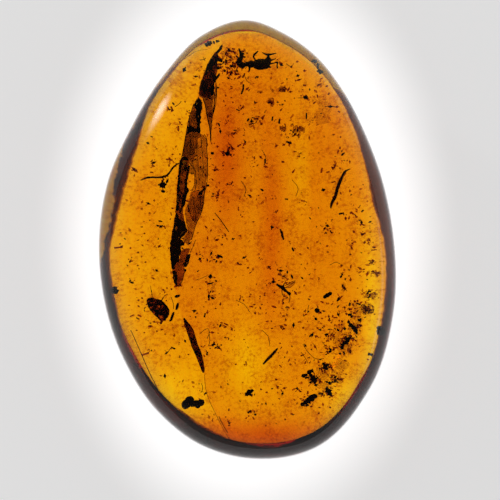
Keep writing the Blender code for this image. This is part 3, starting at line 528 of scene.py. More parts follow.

# Fine hairs as seen, and one dark thread that paints the shade line along a polished facet's edge:
# half width in mm and points
HAIRS_AND_FACET_SHADE = (
    (0.022, ((241.0, 181.0), (246.0, 189.0), (244.0, 197.0))),
    (0.03, ((215.0, 213.0), (219.6, 218.6), (224.6, 225.6), (229.0, 232.0))),
    (0.01, ((184.0, 60.0), (190.0, 55.8), (196.0, 52.0), (204.0, 50.2), (208.0, 50.0))),
    (0.018, ((199.8, 60.4), (204.4, 59.8), (206.0, 58.0))),
    (0.018, ((203.4, 57.0), (204.4, 59.8), (205.4, 61.6))),
    (0.02, ((175.0, 107.0), (179.0, 104.6), (181.6, 101.4))),
    (0.02, ((286.0, 64.0), (289.0, 66.2), (291.5, 67.4))),
    (0.018, ((291.5, 67.4), (293.0, 65.0), (293.8, 64.0))),
    (0.02, ((298.0, 98.2), (302.0, 98.2), (305.6, 97.8))),
    (0.02, ((325.0, 106.6), (330.3, 106.9), (337.0, 107.2))),
    (0.02, ((307.6, 313.0), (308.0, 309.0), (308.6, 305.0))),
    (0.02, ((303.0, 344.0), (308.0, 352.0), (316.0, 358.6), (324.0, 358.0))),
    (0.018, ((312.6, 343.4), (315.6, 346.0), (317.0, 350.4))),
    (0.018, ((322.0, 341.4), (324.4, 344.6), (325.0, 348.4))),
    (0.018, ((301.0, 352.0), (305.0, 357.6), (308.0, 363.0))),
    (0.02, ((199.6, 334.0), (204.0, 330.0), (208.3, 328.6), (209.4, 333.0), (207.0, 338.4))),
    (0.02, ((209.0, 331.0), (210.0, 340.0), (209.0, 345.0))),
    (0.018, ((165.0, 350.0), (168.0, 351.8), (171.0, 347.6))),
    (0.02, ((201.6, 383.0), (203.0, 388.0), (201.0, 392.6))),
    (0.02, ((196.0, 240.0), (193.0, 247.4), (190.4, 252.6))),
    (0.016, ((196.0, 280.0), (203.0, 277.6), (208.0, 275.0))),
    (0.02, ((171.4, 297.0), (173.6, 303.6), (173.6, 309.0))),
    (0.02, ((279.6, 271.6), (281.0, 274.0), (283.0, 277.0))),
    (0.016, ((244.0, 74.0), (247.0, 81.0), (251.0, 83.6))),
    (0.016, ((343.0, 284.0), (344.0, 288.0), (347.0, 291.0))),
    (0.016, ((344.0, 288.0), (341.0, 290.4))),
    (0.02, ((252.0, 124.0), (256.0, 123.0), (258.4, 118.4))),
    (0.018, ((262.0, 150.0), (266.0, 158.0), (264.0, 166.0))),
    (0.018, ((330.0, 265.0), (336.0, 262.0), (341.0, 265.0))),
    (0.018, ((236.0, 300.0), (244.0, 304.0), (250.0, 312.0))),
    (0.018, ((262.0, 330.0), (268.0, 336.0), (270.0, 346.0))),
    (0.018, ((292.0, 180.0), (298.0, 188.0), (296.0, 196.0))),
    (0.014, ((204.6, 374.0), (206.6, 392.0), (214.6, 411.0), (226.0, 433.0), (237.0, 450.0))),
    (0.022, ((219.0, 416.0), (222.6, 423.6), (228.0, 432.6))),
    # Not a hair: a dark thread that paints the shade line along the edge of a polished facet on
    # the crown
    (0.016, ((131.0, 330.0), (140.0, 350.0), (150.0, 373.0), (160.0, 393.0))),
    (0.06, ((243.6, 84.6), (243.4, 88.4), (242.8, 91.0), (241.4, 94.6))),
)

# Blocks of short upright fibres: middle, half width, half height and number of fibres, and a
# fibre's half widths and its lift over the flow, in mm
FIBRE_BLOCKS = (
    ((299.0, 130.0), 6.0, 4.2, 8), ((282.6, 128.6), 3.2, 3.6, 5), ((282.6, 90.2), 3.2, 3.4, 6),
    ((271.2, 102.0), 2.6, 3.4, 5), ((349.0, 350.0), 2.0, 3.4, 4), ((366.6, 309.0), 3.4, 3.4, 7),
)
FIBRE_HALVES = (0.03, 0.05, 0.03)
FIBRE_LIFT = -0.9

# Loose specks: middle of each patch, half width, half height and number
SPECK_PATCHES = (
    ((247.0, 235.0), 128.0, 196.0, 420), ((232.0, 58.0), 16.0, 16.0, 90),
    ((262.0, 100.0), 60.0, 44.0, 60), ((225.0, 190.0), 40.0, 60.0, 60),
    ((320.0, 370.0), 46.0, 60.0, 110), ((336.0, 316.0), 30.0, 22.0, 60),
    ((150.0, 250.0), 34.0, 70.0, 30), ((276.0, 290.0), 34.0, 40.0, 40),
)

# Clusters of grains: middle and spread in picture points, and number
CLUSTERS = (
    ((346.0, 341.0), 4.6, 34), ((354.6, 327.0), 3.6, 22), ((330.6, 335.6), 3.0, 14),
    ((326.0, 366.0), 4.0, 22), ((311.6, 377.0), 4.6, 30), ((308.0, 400.0), 5.0, 26),
    ((328.6, 390.6), 3.4, 18), ((337.0, 379.0), 3.6, 14), ((330.0, 350.4), 3.4, 12),
    ((343.6, 286.4), 1.8, 10), ((304.0, 311.0), 3.0, 8), ((350.0, 312.0), 5.0, 16),
    ((282.0, 89.4), 2.6, 5), ((271.0, 103.0), 2.2, 6), ((228.0, 54.0), 5.0, 26),
    ((233.0, 66.0), 5.0, 22), ((211.0, 80.0), 2.4, 8), ((318.6, 84.6), 2.6, 7),
    ((237.0, 131.0), 3.4, 10), ((228.4, 153.6), 3.0, 16), ((229.6, 147.6), 2.2, 8),
    ((225.6, 120.0), 2.0, 6), ((251.0, 124.0), 2.6, 12), ((256.0, 118.6), 2.6, 8),
    ((188.6, 112.6), 2.0, 6), ((283.2, 276.4), 3.2, 14), ((210.6, 282.0), 4.0, 14),
    ((212.0, 297.0), 3.6, 12), ((218.0, 256.6), 3.4, 10), ((306.0, 97.6), 2.0, 10),
    ((226.0, 72.0), 5.0, 16), ((236.0, 78.0), 5.0, 12), ((249.4, 392.4), 2.6, 10),
    ((216.0, 345.0), 3.0, 10), ((273.0, 281.0), 3.0, 8), ((372.0, 262.0), 2.2, 9),
    ((376.0, 273.0), 3.0, 16), ((371.0, 296.0), 3.6, 22), ((366.0, 291.0), 2.4, 8),
)

# Smaller clusters, strewn at random: the oval that they lie in, their number, and the ranges of
# their spread and their grains
CLUSTER_FIELD = (250.0, 235.0, 125.0, 195.0)
CLUSTER_NUMBER = 120
CLUSTER_SPREAD = (1.2, 3.6)
CLUSTER_GRAINS = (3, 9)

# Smudges of fine dust: middle, half width and half height in picture points, turn in degrees
# and half depth in mm
SMUDGES = (
    ((282.0, 89.2), 5.0, 4.2, 0, 0.16), ((271.0, 103.0), 3.8, 6.4, 0, 0.2),
    ((272.6, 90.6), 4.4, 1.8, -50, 0.16), ((260.4, 92.4), 4.6, 1.6, 0, 0.18),
    ((319.0, 84.6), 4.4, 5.0, -35, 0.07), ((305.6, 83.4), 3.2, 2.8, 0, 0.06),
    ((299.0, 129.6), 7.4, 5.2, 0, 0.09), ((282.6, 128.6), 4.0, 4.6, 0, 0.08),
    ((256.0, 118.6), 4.4, 3.0, 0, 0.12), ((250.4, 124.6), 3.0, 3.2, 30, 0.24),
    ((228.4, 133.4), 3.6, 3.2, 0, 0.1), ((371.2, 295.4), 9.0, 5.0, 15, 0.17),
    ((354.4, 327.2), 5.6, 7.4, -40, 0.16), ((345.4, 342.4), 7.4, 9.0, 20, 0.16),
    ((330.6, 335.4), 5.0, 4.4, 0, 0.1), ((330.0, 350.4), 5.4, 4.4, 0, 0.08),
    ((350.0, 351.6), 3.6, 4.6, 0, 0.1), ((325.8, 365.8), 6.0, 6.0, 0, 0.13),
    ((337.6, 378.6), 5.6, 5.0, 0, 0.11), ((343.8, 287.4), 2.4, 5.4, 0, 0.14),
    ((312.0, 377.0), 7.0, 6.4, 0, 0.08), ((229.4, 152.0), 4.6, 6.0, 0, 0.14),
    ((237.0, 131.4), 4.6, 4.0, 0, 0.08), ((226.0, 55.0), 6.0, 6.4, 0, 0.07),
    ((283.6, 276.4), 5.0, 4.4, 0, 0.1), ((211.6, 290.0), 5.0, 9.0, 0, 0.06),
    ((270.6, 356.2), 9.6, 1.9, 48, 0.2), ((371.6, 262.0), 3.4, 2.6, 0, 0.16),
    ((376.0, 273.4), 5.4, 3.8, 0, 0.1), ((381.0, 262.0), 3.0, 3.6, 0, 0.06),
    ((341.0, 340.0), 12.0, 18.0, 0, 0.06), ((322.0, 380.0), 12.0, 16.0, 0, 0.06),
    ((339.0, 366.0), 11.0, 12.0, 0, 0.055), ((358.0, 314.0), 8.0, 20.0, 0, 0.04),
    ((299.0, 404.0), 8.0, 8.0, 0, 0.03), ((322.0, 112.0), 16.0, 20.0, 0, 0.02),
    ((336.0, 178.0), 9.0, 18.0, 0, 0.03),
)

# Lumps in a smudge, how far they spread as a share of its half sizes, the finest detail and the
# lift over the flow in mm, and what the dust does to light
SMUDGE_LUMPS = 20
SMUDGE_SPREAD = 1.05
SMUDGE_DETAIL = 0.03
SMUDGE_LIFT = -0.5
DUST_COLOUR = (0.42, 0.24, 0.15)
DUST_DENSITY = 4600.0

# Shares of black, brown and faint specks, the reach of specks as a share of the stone's, the
# tries to find a place inside it, their lowest, highest and usual height over the flow in mm,
# and the size from which a grain is black
SPECK_SHARES = (0.2, 0.45, 0.35)
SPECK_REACH = 0.87
SPECK_TRIES = 40
SPECK_LIFT = (-2.6, 2.4, 0.0)
DARK_GRAIN = 1.8

# Floor light: half sizes in mm of its bright oval, and how far out it fades, as a share of them
PAD_HALVES = (9.6, 14.4)
PAD_FADE = 1.6

# Sky: the height of a direction from -1 to 1, and its light
SKY = ((-1.0, 0.0), (-0.01, 0.0), (0.0, 0.36), (0.2, 0.34), (0.42, 0.18), (0.6, 0.08),
       (0.9, 0.02), (1.0, 0.02))

# Softboxes: bearing clockwise from the stone's narrow end and elevation in degrees, width and
# height in metres, and the distance of all of them in metres
SOFTBOXES = {"key": (-56, 19, (0.05, 0.11)), "fill": (100, 8, (0.30, 0.05))}
LIGHT_DISTANCE = 0.25

# Camera: the width of what it sees and the place that it looks at, in mm
VIEW_WIDTH = 35.3
VIEW_AIM = (0.18, -0.73, 4.0)


class StoneSettings(bpy.types.PropertyGroup):
    """The amber itself."""

    segments: IntProperty(
        name="Segments", description="Steps round the stone", default=240, min=24, max=360)
    rings: IntProperty(
        name="Rings", description="Steps from the crown's middle to the back's", default=180,
        min=24, max=360)
    density: FloatProperty(
        name="Depth of colour", description="Light that the amber takes up, per metre",
        default=900.0, min=0.0)
    colour: FloatVectorProperty(
        name="Colour", description="Colour that light takes on in the amber", subtype="COLOR",
        size=3, default=(0.983, 0.898, 0.0), min=0.0, max=1.0)
    # This tint paints the shade of the stone's dark rim, on a brown sheet just under it
    rim_shade: FloatVectorProperty(
        name="Rind", description="Tint of the weathered skin under the rim", subtype="COLOR",
        size=3, default=(0.16, 0.06, 0.03), min=0.0, max=1.0)
    pour_colour: FloatVectorProperty(
        name="Second pour", description="Light that a millimetre of the second pour lets by",
        subtype="COLOR", size=3, default=(0.888, 0.638, 0.5), min=0.0, max=1.0)


class InsectSettings(bpy.types.PropertyGroup):
    """The ant, the beetle and the midge."""

    black: FloatVectorProperty(
        name="Black shell", description="Colour of the ant and the midge", subtype="COLOR",
        size=3, default=(0.012, 0.006, 0.004), min=0.0, max=1.0)
    brown: FloatVectorProperty(
        name="Brown shell", description="Dark colour of the beetle", subtype="COLOR",
        size=3, default=(0.035, 0.006, 0.003), min=0.0, max=1.0)
    detail: FloatProperty(
        name="Detail", description="Finest detail of an insect's body, in mm",
        default=0.018, min=0.01, max=0.1)


class DebrisSettings(bpy.types.PropertyGroup):
    """Bark, plant pieces, crumbs and specks."""

    skin: FloatVectorProperty(
        name="Bark skin", description="Tint of the thin bark skins", subtype="COLOR",
        size=3, default=(0.515, 0.38, 0.42), min=0.0, max=1.0)
    strip: FloatVectorProperty(
        name="Bark strip", description="Light that the thicker bark lets through",
        subtype="COLOR", size=3, default=(0.32, 0.15, 0.11), min=0.0, max=1.0)
    crust: FloatVectorProperty(
        name="Bark crust", description="Colour of the bark's black crust", subtype="COLOR",
        size=3, default=(0.010, 0.005, 0.004), min=0.0, max=1.0)
    seed: IntProperty(
        name="Seed", description="Start of the specks' random places", default=7)
    speck_size: FloatProperty(
        name="Speck size", description="Middling half length of a loose speck, in mm",
        default=0.045, min=0.01, max=0.2)


class StageSettings(bpy.types.PropertyGroup):
    """Floor, lights and camera."""

    floor: FloatVectorProperty(
        name="Floor", description="Colour of the floor", subtype="COLOR", size=3,
        default=(0.75, 0.75, 0.75), min=0.0, max=1.0)
    glow: FloatProperty(
        name="Floor light", description="Soft light that comes up through the opal floor",
        default=1.02, min=0.0)
    surround: FloatProperty(
        name="Floor light around", description="The same light, away from the stone",
        default=0.64, min=0.0)
    key: FloatProperty(
        name="Key light", description="Power of the main soft light", default=0.17, min=0.0,
        subtype="POWER", unit="POWER")
    fill: FloatProperty(
        name="Fill light", description="Power of the second soft light", default=0.06, min=0.0,
        subtype="POWER", unit="POWER")
    distance: FloatProperty(
        name="Camera distance", description="Distance from the camera to the stone",
        default=1.2, min=0.1, subtype="DISTANCE", unit="LENGTH")


def from_picture(px, py):
    """A point of the picture as x and y in mm from the stone's middle."""
    return (px - PICTURE_MIDDLE[0]) * PICTURE_STEP, (PICTURE_MIDDLE[1] - py) * PICTURE_STEP


def knot_slope(before, knot, after):
    slope_before = (knot[1] - before[1]) / (knot[0] - before[0])
    slope_after = (after[1] - knot[1]) / (after[0] - knot[0])
    share = (knot[0] - before[0]) / (after[0] - before[0])
    return slope_before * (1 - share) + slope_after * share


def around(table, bearing):
    """A table's value at a bearing, on a smooth closed curve through all its values."""
    degrees = math.degrees(bearing) % 360
    count = len(table)
    turns = [(table[k % count][0] + 360 * (k // count), table[k % count][1])
             for k in range(-1, count + 3)]
    first = next(k for k in range(1, count + 1) if turns[k][0] <= degrees < turns[k + 1][0])
    before, start, end, after = turns[first - 1:first + 3]
    width = end[0] - start[0]
    u = (degrees - start[0]) / width
    start_slope = knot_slope(before, start, end) * width
    end_slope = knot_slope(start, end, after) * width
    return ((2 * u**3 - 3 * u**2 + 1) * start[1] + (u**3 - 2 * u**2 + u) * start_slope
            + (3 * u**2 - 2 * u**3) * end[1] + (u**3 - u**2) * end_slope)


def outline_radius(bearing):
    """Distance in mm from the middle to the stone's edge."""
    return around(OUTLINE, bearing)


def crown_height(share):
    inner, outer = CROWN_ROUNDING
    dome = max(0.0, 1 - share**inner) ** (1 / outer)
    return GIRDLE_HEIGHT + (THICKNESS - GIRDLE_HEIGHT) * dome


def back_height(share, fullness):
    """Height of the back: flat in the middle, then rising to the girdle."""
    rise = max(0.0, (share - FLAT_SHARE) / (1 - FLAT_SHARE))
    return GIRDLE_HEIGHT * (1 - max(0.0, 1 - rise**fullness) ** (1 / BACK_ROUNDING))


def crown_at(x, y):
    return crown_height(min(1.0, math.hypot(x, y) / outline_radius(math.atan2(y, x))))


def flow_height(x, y):
    wave = FLOW_WAVE * math.sin(2 * math.pi * y / FLOW_WAVELENGTH)
    return FLOW_HEIGHT + FLOW_TILT * x + wave


def seen_place(px, py, height=None, lift=0.0):
    """True place in mm of what is seen from above at a point of the picture.

    It lies on the flow surface, or at the height given.
    """
    x, y = from_picture(px, py)
    slope_x = (crown_at(x + SLOPE_STEP, y) - crown_at(x - SLOPE_STEP, y)) / (2 * SLOPE_STEP)
    slope_y = (crown_at(x, y + SLOPE_STEP) - crown_at(x, y - SLOPE_STEP)) / (2 * SLOPE_STEP)
    normal = Vector((-slope_x, -slope_y, 1)).normalized()
    ratio = 1 / REFRACTIVE_INDEX
    bend = ratio * normal.z - math.sqrt(1 - ratio**2 * (1 - normal.z**2))
    ray = ratio * Vector((0, 0, -1)) + bend * normal
    place = Vector((x, y, crown_at(x, y)))
    for _ in range(RAY_ROUNDS):
        level = flow_height(place.x, place.y) if height is None else height
        place += ray * ((level + lift - place.z) / ray.z)
    return place


def pick(*things):
    """Select these things alone, in object mode, with the first one active."""
    if bpy.context.object and bpy.context.object.mode != "OBJECT":
        bpy.ops.object.mode_set(mode="OBJECT")
    bpy.ops.object.select_all(action="DESELECT")
    for thing in things:
        thing.select_set(True)
    if things:
        bpy.context.view_layer.objects.active = things[0]


def apply_modifiers(thing):
    pick(thing)
    for modifier in list(thing.modifiers):
        bpy.ops.object.modifier_apply(modifier=modifier.name)


def add_thing(name, data):
    """Put a mesh, a curve, a light or a camera into the scene."""
    thing = bpy.data.objects.new(name, data)
    bpy.context.scene.collection.objects.link(thing)
    return thing


def join(things):
    pick(*things)
    if len(things) > 1:
        bpy.ops.object.join()
    return bpy.context.object


def add_ball(place, halves, turn=0.0, segments=24, rings=16):
    """A rounded body at a place in mm, with its half sizes and its turn in degrees."""
    pick()
    bpy.ops.mesh.primitive_uv_sphere_add(segments=segments, ring_count=rings, radius=1.0,
                                         location=place, rotation=(0, 0, math.radians(turn)))
    ball = bpy.context.object
    ball.scale = halves
    bpy.ops.object.transform_apply(location=True, rotation=True, scale=True)
    return ball


def smooth_route(points, halves, steps):
    """Points in mm and half widths along a smooth curve through the ones given."""
    route = []
    last = len(points) - 1
    for k in range(last):
        before, start = points[max(0, k - 1)], points[k]
        end, after = points[k + 1], points[min(last, k + 2)]
        for step in range(steps):
            u = step / steps
            place = 0.5 * (2 * start + (end - before) * u
                           + (2 * before - 5 * start + 4 * end - after) * u**2
                           + (3 * start - before - 3 * end + after) * u**3)
            route.append((place, halves[k] * (1 - u) + halves[k + 1] * u))
    route.append((points[-1], halves[-1]))
    return route


def add_tube(route, roundness=2):
    """A closed round tube along places in mm, with its half width at each."""
    curve = bpy.data.curves.new("tube", "CURVE")
    curve.dimensions = "3D"
    curve.bevel_depth = 1.0
    curve.bevel_resolution = roundness
    curve.use_fill_caps = True
    spline = curve.splines.new("POLY")
    spline.points.add(len(route) - 1)
    for point, (place, half) in zip(spline.points, route):
        point.co = (*place, 1)
        point.radius = half
    pick(add_thing("tube", curve))
    bpy.ops.object.convert(target="MESH")
    bpy.ops.object.mode_set(mode="EDIT")
    bpy.ops.mesh.select_all(action="SELECT")
    bpy.ops.mesh.remove_doubles(threshold=0.0005)
    bpy.ops.mesh.normals_make_consistent(inside=False)
    bpy.ops.object.mode_set(mode="OBJECT")
    return bpy.context.object


def add_limb(halves, points, steps=4, lift=0.0, roundness=1):
    """A limb, hair or rod through picture points, with its half width in mm at each."""
    places = [seen_place(*point, lift=lift) for point in points]
    return add_tube(smooth_route(places, halves, steps), roundness)


def add_members(balls, limbs=()):
    """The rounded parts and the limbs of a body."""
    return ([add_ball(seen_place(*place), halves, turn) for place, halves, turn in balls]
            + [add_limb(halves, points) for halves, points in limbs])


def fuse(things, detail, smoothing=4):
    """One closed body from overlapping ones, with soft joints."""
    body = join(things)
    remesh = body.modifiers.new("fuse", "REMESH")
    remesh.mode = "VOXEL"
    remesh.voxel_size = detail
    smooth = body.modifiers.new("smooth", "SMOOTH")
    smooth.factor = 0.5
    smooth.iterations = smoothing
    apply_modifiers(body)
    return body


def roughen(thing, depth, size):
    """Lumps of a size, in mm, that stand out and sink in by up to half the depth."""
    texture = bpy.data.textures.new("lumps", "CLOUDS")
    texture.noise_scale = size
    texture.noise_depth = 2
    modifier = thing.modifiers.new("lumps", "DISPLACE")
    modifier.texture = texture
    modifier.texture_coords = "GLOBAL"
    modifier.strength = depth
    modifier.mid_level = 0.5
    apply_modifiers(thing)
    bpy.data.textures.remove(texture)


def ragged(points, jitter, seed, rounds=2):
    """An edge with extra points, each moved a little, so that it looks torn."""
    draw = random.Random(seed)
    for _ in range(rounds):
        finer = []
        for start, end in zip(points, points[1:] + points[:1]):
            length = math.dist(start, end)
            reach = min(jitter, length / 5)
            middle = ((start[0] + end[0]) / 2 + draw.uniform(-reach, reach),
                      (start[1] + end[1]) / 2 + draw.uniform(-reach, reach))
            finer += [start, middle]
        points = finer
        jitter /= 2
    return points


def add_patch(edge, thickness, detail, lift=0.0, jitter=0.5, seed=0, lumps=(0.0, 1.0)):
    """A thin piece with an edge as seen, laid on the flow surface."""
    outline = [seen_place(*point) for point in ragged(list(edge), jitter, seed)]
    mesh = bpy.data.meshes.new("patch")
    corners = [(place.x, place.y, -thickness / 2) for place in outline]
    edges = [(k, (k + 1) % len(corners)) for k in range(len(corners))]
    mesh.from_pydata(corners, edges, [])
    patch = add_thing("patch", mesh)
    pick(patch)
    bpy.ops.object.mode_set(mode="EDIT")
    bpy.ops.mesh.select_all(action="SELECT")
    bpy.ops.mesh.edge_face_add()
    bpy.ops.mesh.quads_convert_to_tris(ngon_method="BEAUTY")
    bpy.ops.mesh.extrude_region_move(TRANSFORM_OT_translate={"value": (0, 0, thickness)})
    bpy.ops.mesh.select_all(action="SELECT")
    bpy.ops.mesh.normals_make_consistent(inside=False)
    bpy.ops.object.mode_set(mode="OBJECT")
    patch = fuse([patch], detail, smoothing=2)
    if lumps[0]:
        roughen(patch, *lumps)
    for vertex in patch.data.vertices:
        x, y, z = vertex.co
        vertex.co.z = z + lift + flow_height(x, y)
    return patch


def add_patches(edges, seed, **settings):
    """Several thin pieces as one, each torn in its own way."""
    return join([add_patch(edge, seed=seed + k, **settings) for k, edge in enumerate(edges)])


def finish(thing, name, material, nodes=(), angle=50.0):
    """Name a piece, bring it to metres, and hand it to the frame."""
    pick(thing)
    thing.scale = (MM, MM, MM)
    bpy.ops.object.transform_apply(location=True, rotation=True, scale=True)
    thing.name = name
    thing.data.name = name
    thing.data.materials.clear()
    thing.data.materials.append(material)
    bpy.ops.object.shade_smooth_by_angle(angle=math.radians(angle))
    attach(thing, "root")
    if nodes:
        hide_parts(*nodes)
    return thing


def new_material(name):
    material = bpy.data.materials.get(name)
    if material:
        bpy.data.materials.remove(material)
    material = bpy.data.materials.new(name)
    material.use_nodes = True
    return material, material.node_tree, material.node_tree.nodes["Principled BSDF"]


def add_node(tree, kind, inputs=None, **settings):
    node = tree.nodes.new(kind)
    for key, value in settings.items():
        setattr(node, key, value)
    for socket, value in (inputs or {}).items():
        node.inputs[socket].default_value = value
    return node


def object_noise(tree, size, detail=3.0, roughness=0.55, stretch=(1, 1, 1)):
    """Noise on Object coordinates, with features of a size in mm."""
    place = add_node(tree, "ShaderNodeTexCoord")
    mapping = add_node(tree, "ShaderNodeMapping", {"Scale": stretch})
    tree.links.new(place.outputs["Object"], mapping.inputs["Vector"])
    texture = add_node(tree, "ShaderNodeTexNoise",
                       {"Scale": 1 / (size * MM), "Detail": detail, "Roughness": roughness})
    tree.links.new(mapping.outputs["Vector"], texture.inputs["Vector"])
    return texture.outputs["Fac"]


def ramp(tree, value, stops):
    """Colours along a value, from (place, colour) stops."""
    node = add_node(tree, "ShaderNodeValToRGB")
    elements = node.color_ramp.elements
    while len(elements) < len(stops):
        elements.new(0.5)
    for element, (place, colour) in zip(elements, stops):
        element.position = place
        element.color = (*colour, 1.0)
    tree.links.new(value, node.inputs["Fac"])
    return node.outputs["Color"]


def spread(tree, value, low, high, start=0.3, end=0.7):
    """A value stretched so that start to end becomes low to high."""
    node = add_node(tree, "ShaderNodeMapRange",
                    {"From Min": start, "From Max": end, "To Min": low, "To Max": high})
    tree.links.new(value, node.inputs["Value"])
    return node.outputs["Result"]


def weighted(tree, value, weight, base=None):
    """A value times a weight, plus another value."""
    node = add_node(tree, "ShaderNodeMath", {1: weight, 2: 0.0}, operation="MULTIPLY_ADD")
    tree.links.new(value, node.inputs[0])
    if base:
        tree.links.new(base, node.inputs[2])
    return node.outputs["Value"]


def paint(tree, shader, value, stops):
    """Give a shader its colours along a value, from (place, colour) stops."""
    tree.links.new(ramp(tree, value, stops), shader.inputs["Base Color"])


def absorb(tree, colour, density):
    """Let a body take up light on its way through."""
    volume = add_node(tree, "ShaderNodeVolumeAbsorption",
                      {"Color": (*colour, 1.0), "Density": density})
    tree.links.new(volume.outputs["Volume"], tree.nodes["Material Output"].inputs["Volume"])


def clear_shader(shader):
    """Light goes straight through and only takes on a tint."""
    shader.inputs["Transmission Weight"].default_value = 1.0
    shader.inputs["IOR"].default_value = 1.0
    shader.inputs["Roughness"].default_value = 0.0


def add_bump(tree, shader, height, strength, depth):
    """Bumps with a depth in mm."""
    node = add_node(tree, "ShaderNodeBump", {"Strength": strength, "Distance": depth * MM})
    tree.links.new(height, node.inputs["Height"])
    tree.links.new(node.outputs["Normal"], shader.inputs["Normal"])


def scaled(colour, share):
    """A colour made darker, or lighter up to white."""
    return tuple(min(1.0, part * share) for part in colour[:3])


def amber_material(settings):
    material, tree, shader = new_material("amber")
    shader.inputs["Base Color"].default_value = (1.0, 1.0, 1.0, 1.0)
    shader.inputs["Transmission Weight"].default_value = 1.0
    shader.inputs["Roughness"].default_value = 0.0
    shader.inputs["IOR"].default_value = REFRACTIVE_INDEX
    absorb(tree, settings.colour, settings.density)
    return material


def shell_material(name, colour, gloss):
    """An insect's shell: dark, with brown where it is thin, and a fine dimpled gloss."""
    material, tree, shader = new_material(name)
    mottle = object_noise(tree, 0.16)
    paint(tree, shader, mottle, (
        (0.3, colour), (0.62, scaled(colour, 1.6)),
        (0.8, (colour[0] * 4, colour[1] * 2.4, colour[2] * 1.6))))
    dimples = object_noise(tree, 0.035, detail=2.0)
    tree.links.new(spread(tree, dimples, gloss - 0.1, gloss + 0.15),
                   shader.inputs["Roughness"])
    shader.inputs["Specular IOR Level"].default_value = SEALED_GLOSS
    add_bump(tree, shader, dimples, 0.5, 0.008)
    return material


def beetle_material(colour):
    """A pitted wing case: black in the middle of its mottles, with dark red where light passes."""
    material, tree, shader = new_material("beetle_shell")
    place = add_node(tree, "ShaderNodeTexCoord")
    pits = add_node(tree, "ShaderNodeTexVoronoi", {"Scale": 1 / (0.2 * MM), "Randomness": 0.9})
    tree.links.new(place.outputs["Object"], pits.inputs["Vector"])
    mottle = object_noise(tree, 0.34, detail=4.0, roughness=0.62)
    pitted = weighted(tree, pits.outputs["Distance"], -0.3, mottle)
    paint(tree, shader, pitted, (
        (0.26, scaled(colour, 0.5)), (0.34, colour), (0.42, (0.22, 0.05, 0.03)),
        (0.52, (0.5, 0.2, 0.12))))
    tree.links.new(spread(tree, pitted, 0.0, 1.0, 0.3, 0.42),
                   shader.inputs["Transmission Weight"])
    tree.links.new(spread(tree, mottle, 0.25, 0.5), shader.inputs["Roughness"])
    shader.inputs["IOR"].default_value = SEALED_INDEX
    add_bump(tree, shader, pits.outputs["Distance"], 0.6, 0.02)
    return material


def tinted_material(name, stops, size, **texture):
    """A thing that light goes straight through, with tints along a noise of a size in mm."""
    material, tree, shader = new_material(name)
    paint(tree, shader, object_noise(tree, size, **texture), stops)
    clear_shader(shader)
    return material


def speckled_material():
    """A pale crumb with a black net over it."""
    stops = ((0.41, (0.0, 0.0, 0.0)), (0.47, (0.3, 0.2, 0.12)), (0.55, (0.85, 0.76, 0.6)))
    return tinted_material("crumb_speckled", stops, 0.16, roughness=0.6)


def mottled_skin_material(name, tint):
    """Thicker bark that is black in places and lets a little brown light through in others."""
    stops = ((0.40, (0.0, 0.0, 0.0)), (0.47, scaled(tint, 0.2)), (0.55, scaled(tint, 0.7)),
             (0.66, tint))
    return tinted_material(name, stops, 0.34, detail=5.0, roughness=0.68, stretch=(1, 0.45, 1))


def clear_tint_material(name, tint):
    """A small thing that only tints what is behind it."""
    return tinted_material(name, ((0.3, scaled(tint, 0.5)), (0.7, tint)), 0.4)


def skin_material(name, tint, fibre, shade):
    """A thin bark skin that light passes through, with fibres along its length."""
    material, tree, shader = new_material(name)
    fibres = object_noise(tree, fibre, detail=4.0, roughness=0.6, stretch=(1, 0.12, 1))
    blotches = spread(tree, object_noise(tree, 0.9), 0.0, 0.4)
    paint(tree, shader, weighted(tree, fibres, 0.6, blotches), (
        (0.25, scaled(tint, shade)), (0.4, scaled(tint, 0.4 + shade)), (0.52, tint),
        (0.72, scaled(tint, 1.7))))
    clear_shader(shader)
    return material


def crust_material(name, colour, light):
    """Black bark crust, crumbly, with some brown."""
    material, tree, shader = new_material(name)
    grain = object_noise(tree, 0.12, detail=5.0, roughness=0.65)
    paint(tree, shader, grain, ((0.4, colour), (0.6, scaled(colour, 2.2)), (0.74, light)))
    tree.links.new(spread(tree, grain, 0.4, 0.9), shader.inputs["Roughness"])
    shader.inputs["Specular IOR Level"].default_value = SEALED_GLOSS
    add_bump(tree, shader, grain, 0.8, 0.03)
    return material


def plant_material(name, colour):
    """Dark wood fibre with fine grooves."""
    material, tree, shader = new_material(name)
    grooves = object_noise(tree, 0.07, detail=4.0, stretch=(1, 0.3, 1))
    paint(tree, shader, grooves, ((0.35, scaled(colour, 0.4)), (0.55, colour),
                                  (0.75, scaled(colour, 2.5))))
    shader.inputs["Roughness"].default_value = 0.6
    shader.inputs["Specular IOR Level"].default_value = SEALED_GLOSS
    add_bump(tree, shader, grooves, 0.6, 0.012)
    return material


def glint_material():
    """Painted glints: pale flecks that paint the crust's small bright reflections."""
    material, tree, shader = new_material("crack_glint")
    paint(tree, shader, object_noise(tree, 0.1), (
        (0.3, (0.5, 0.36, 0.32)), (0.7, (0.95, 0.85, 0.8))))
    shader.inputs["Roughness"].default_value = 0.4
    return material


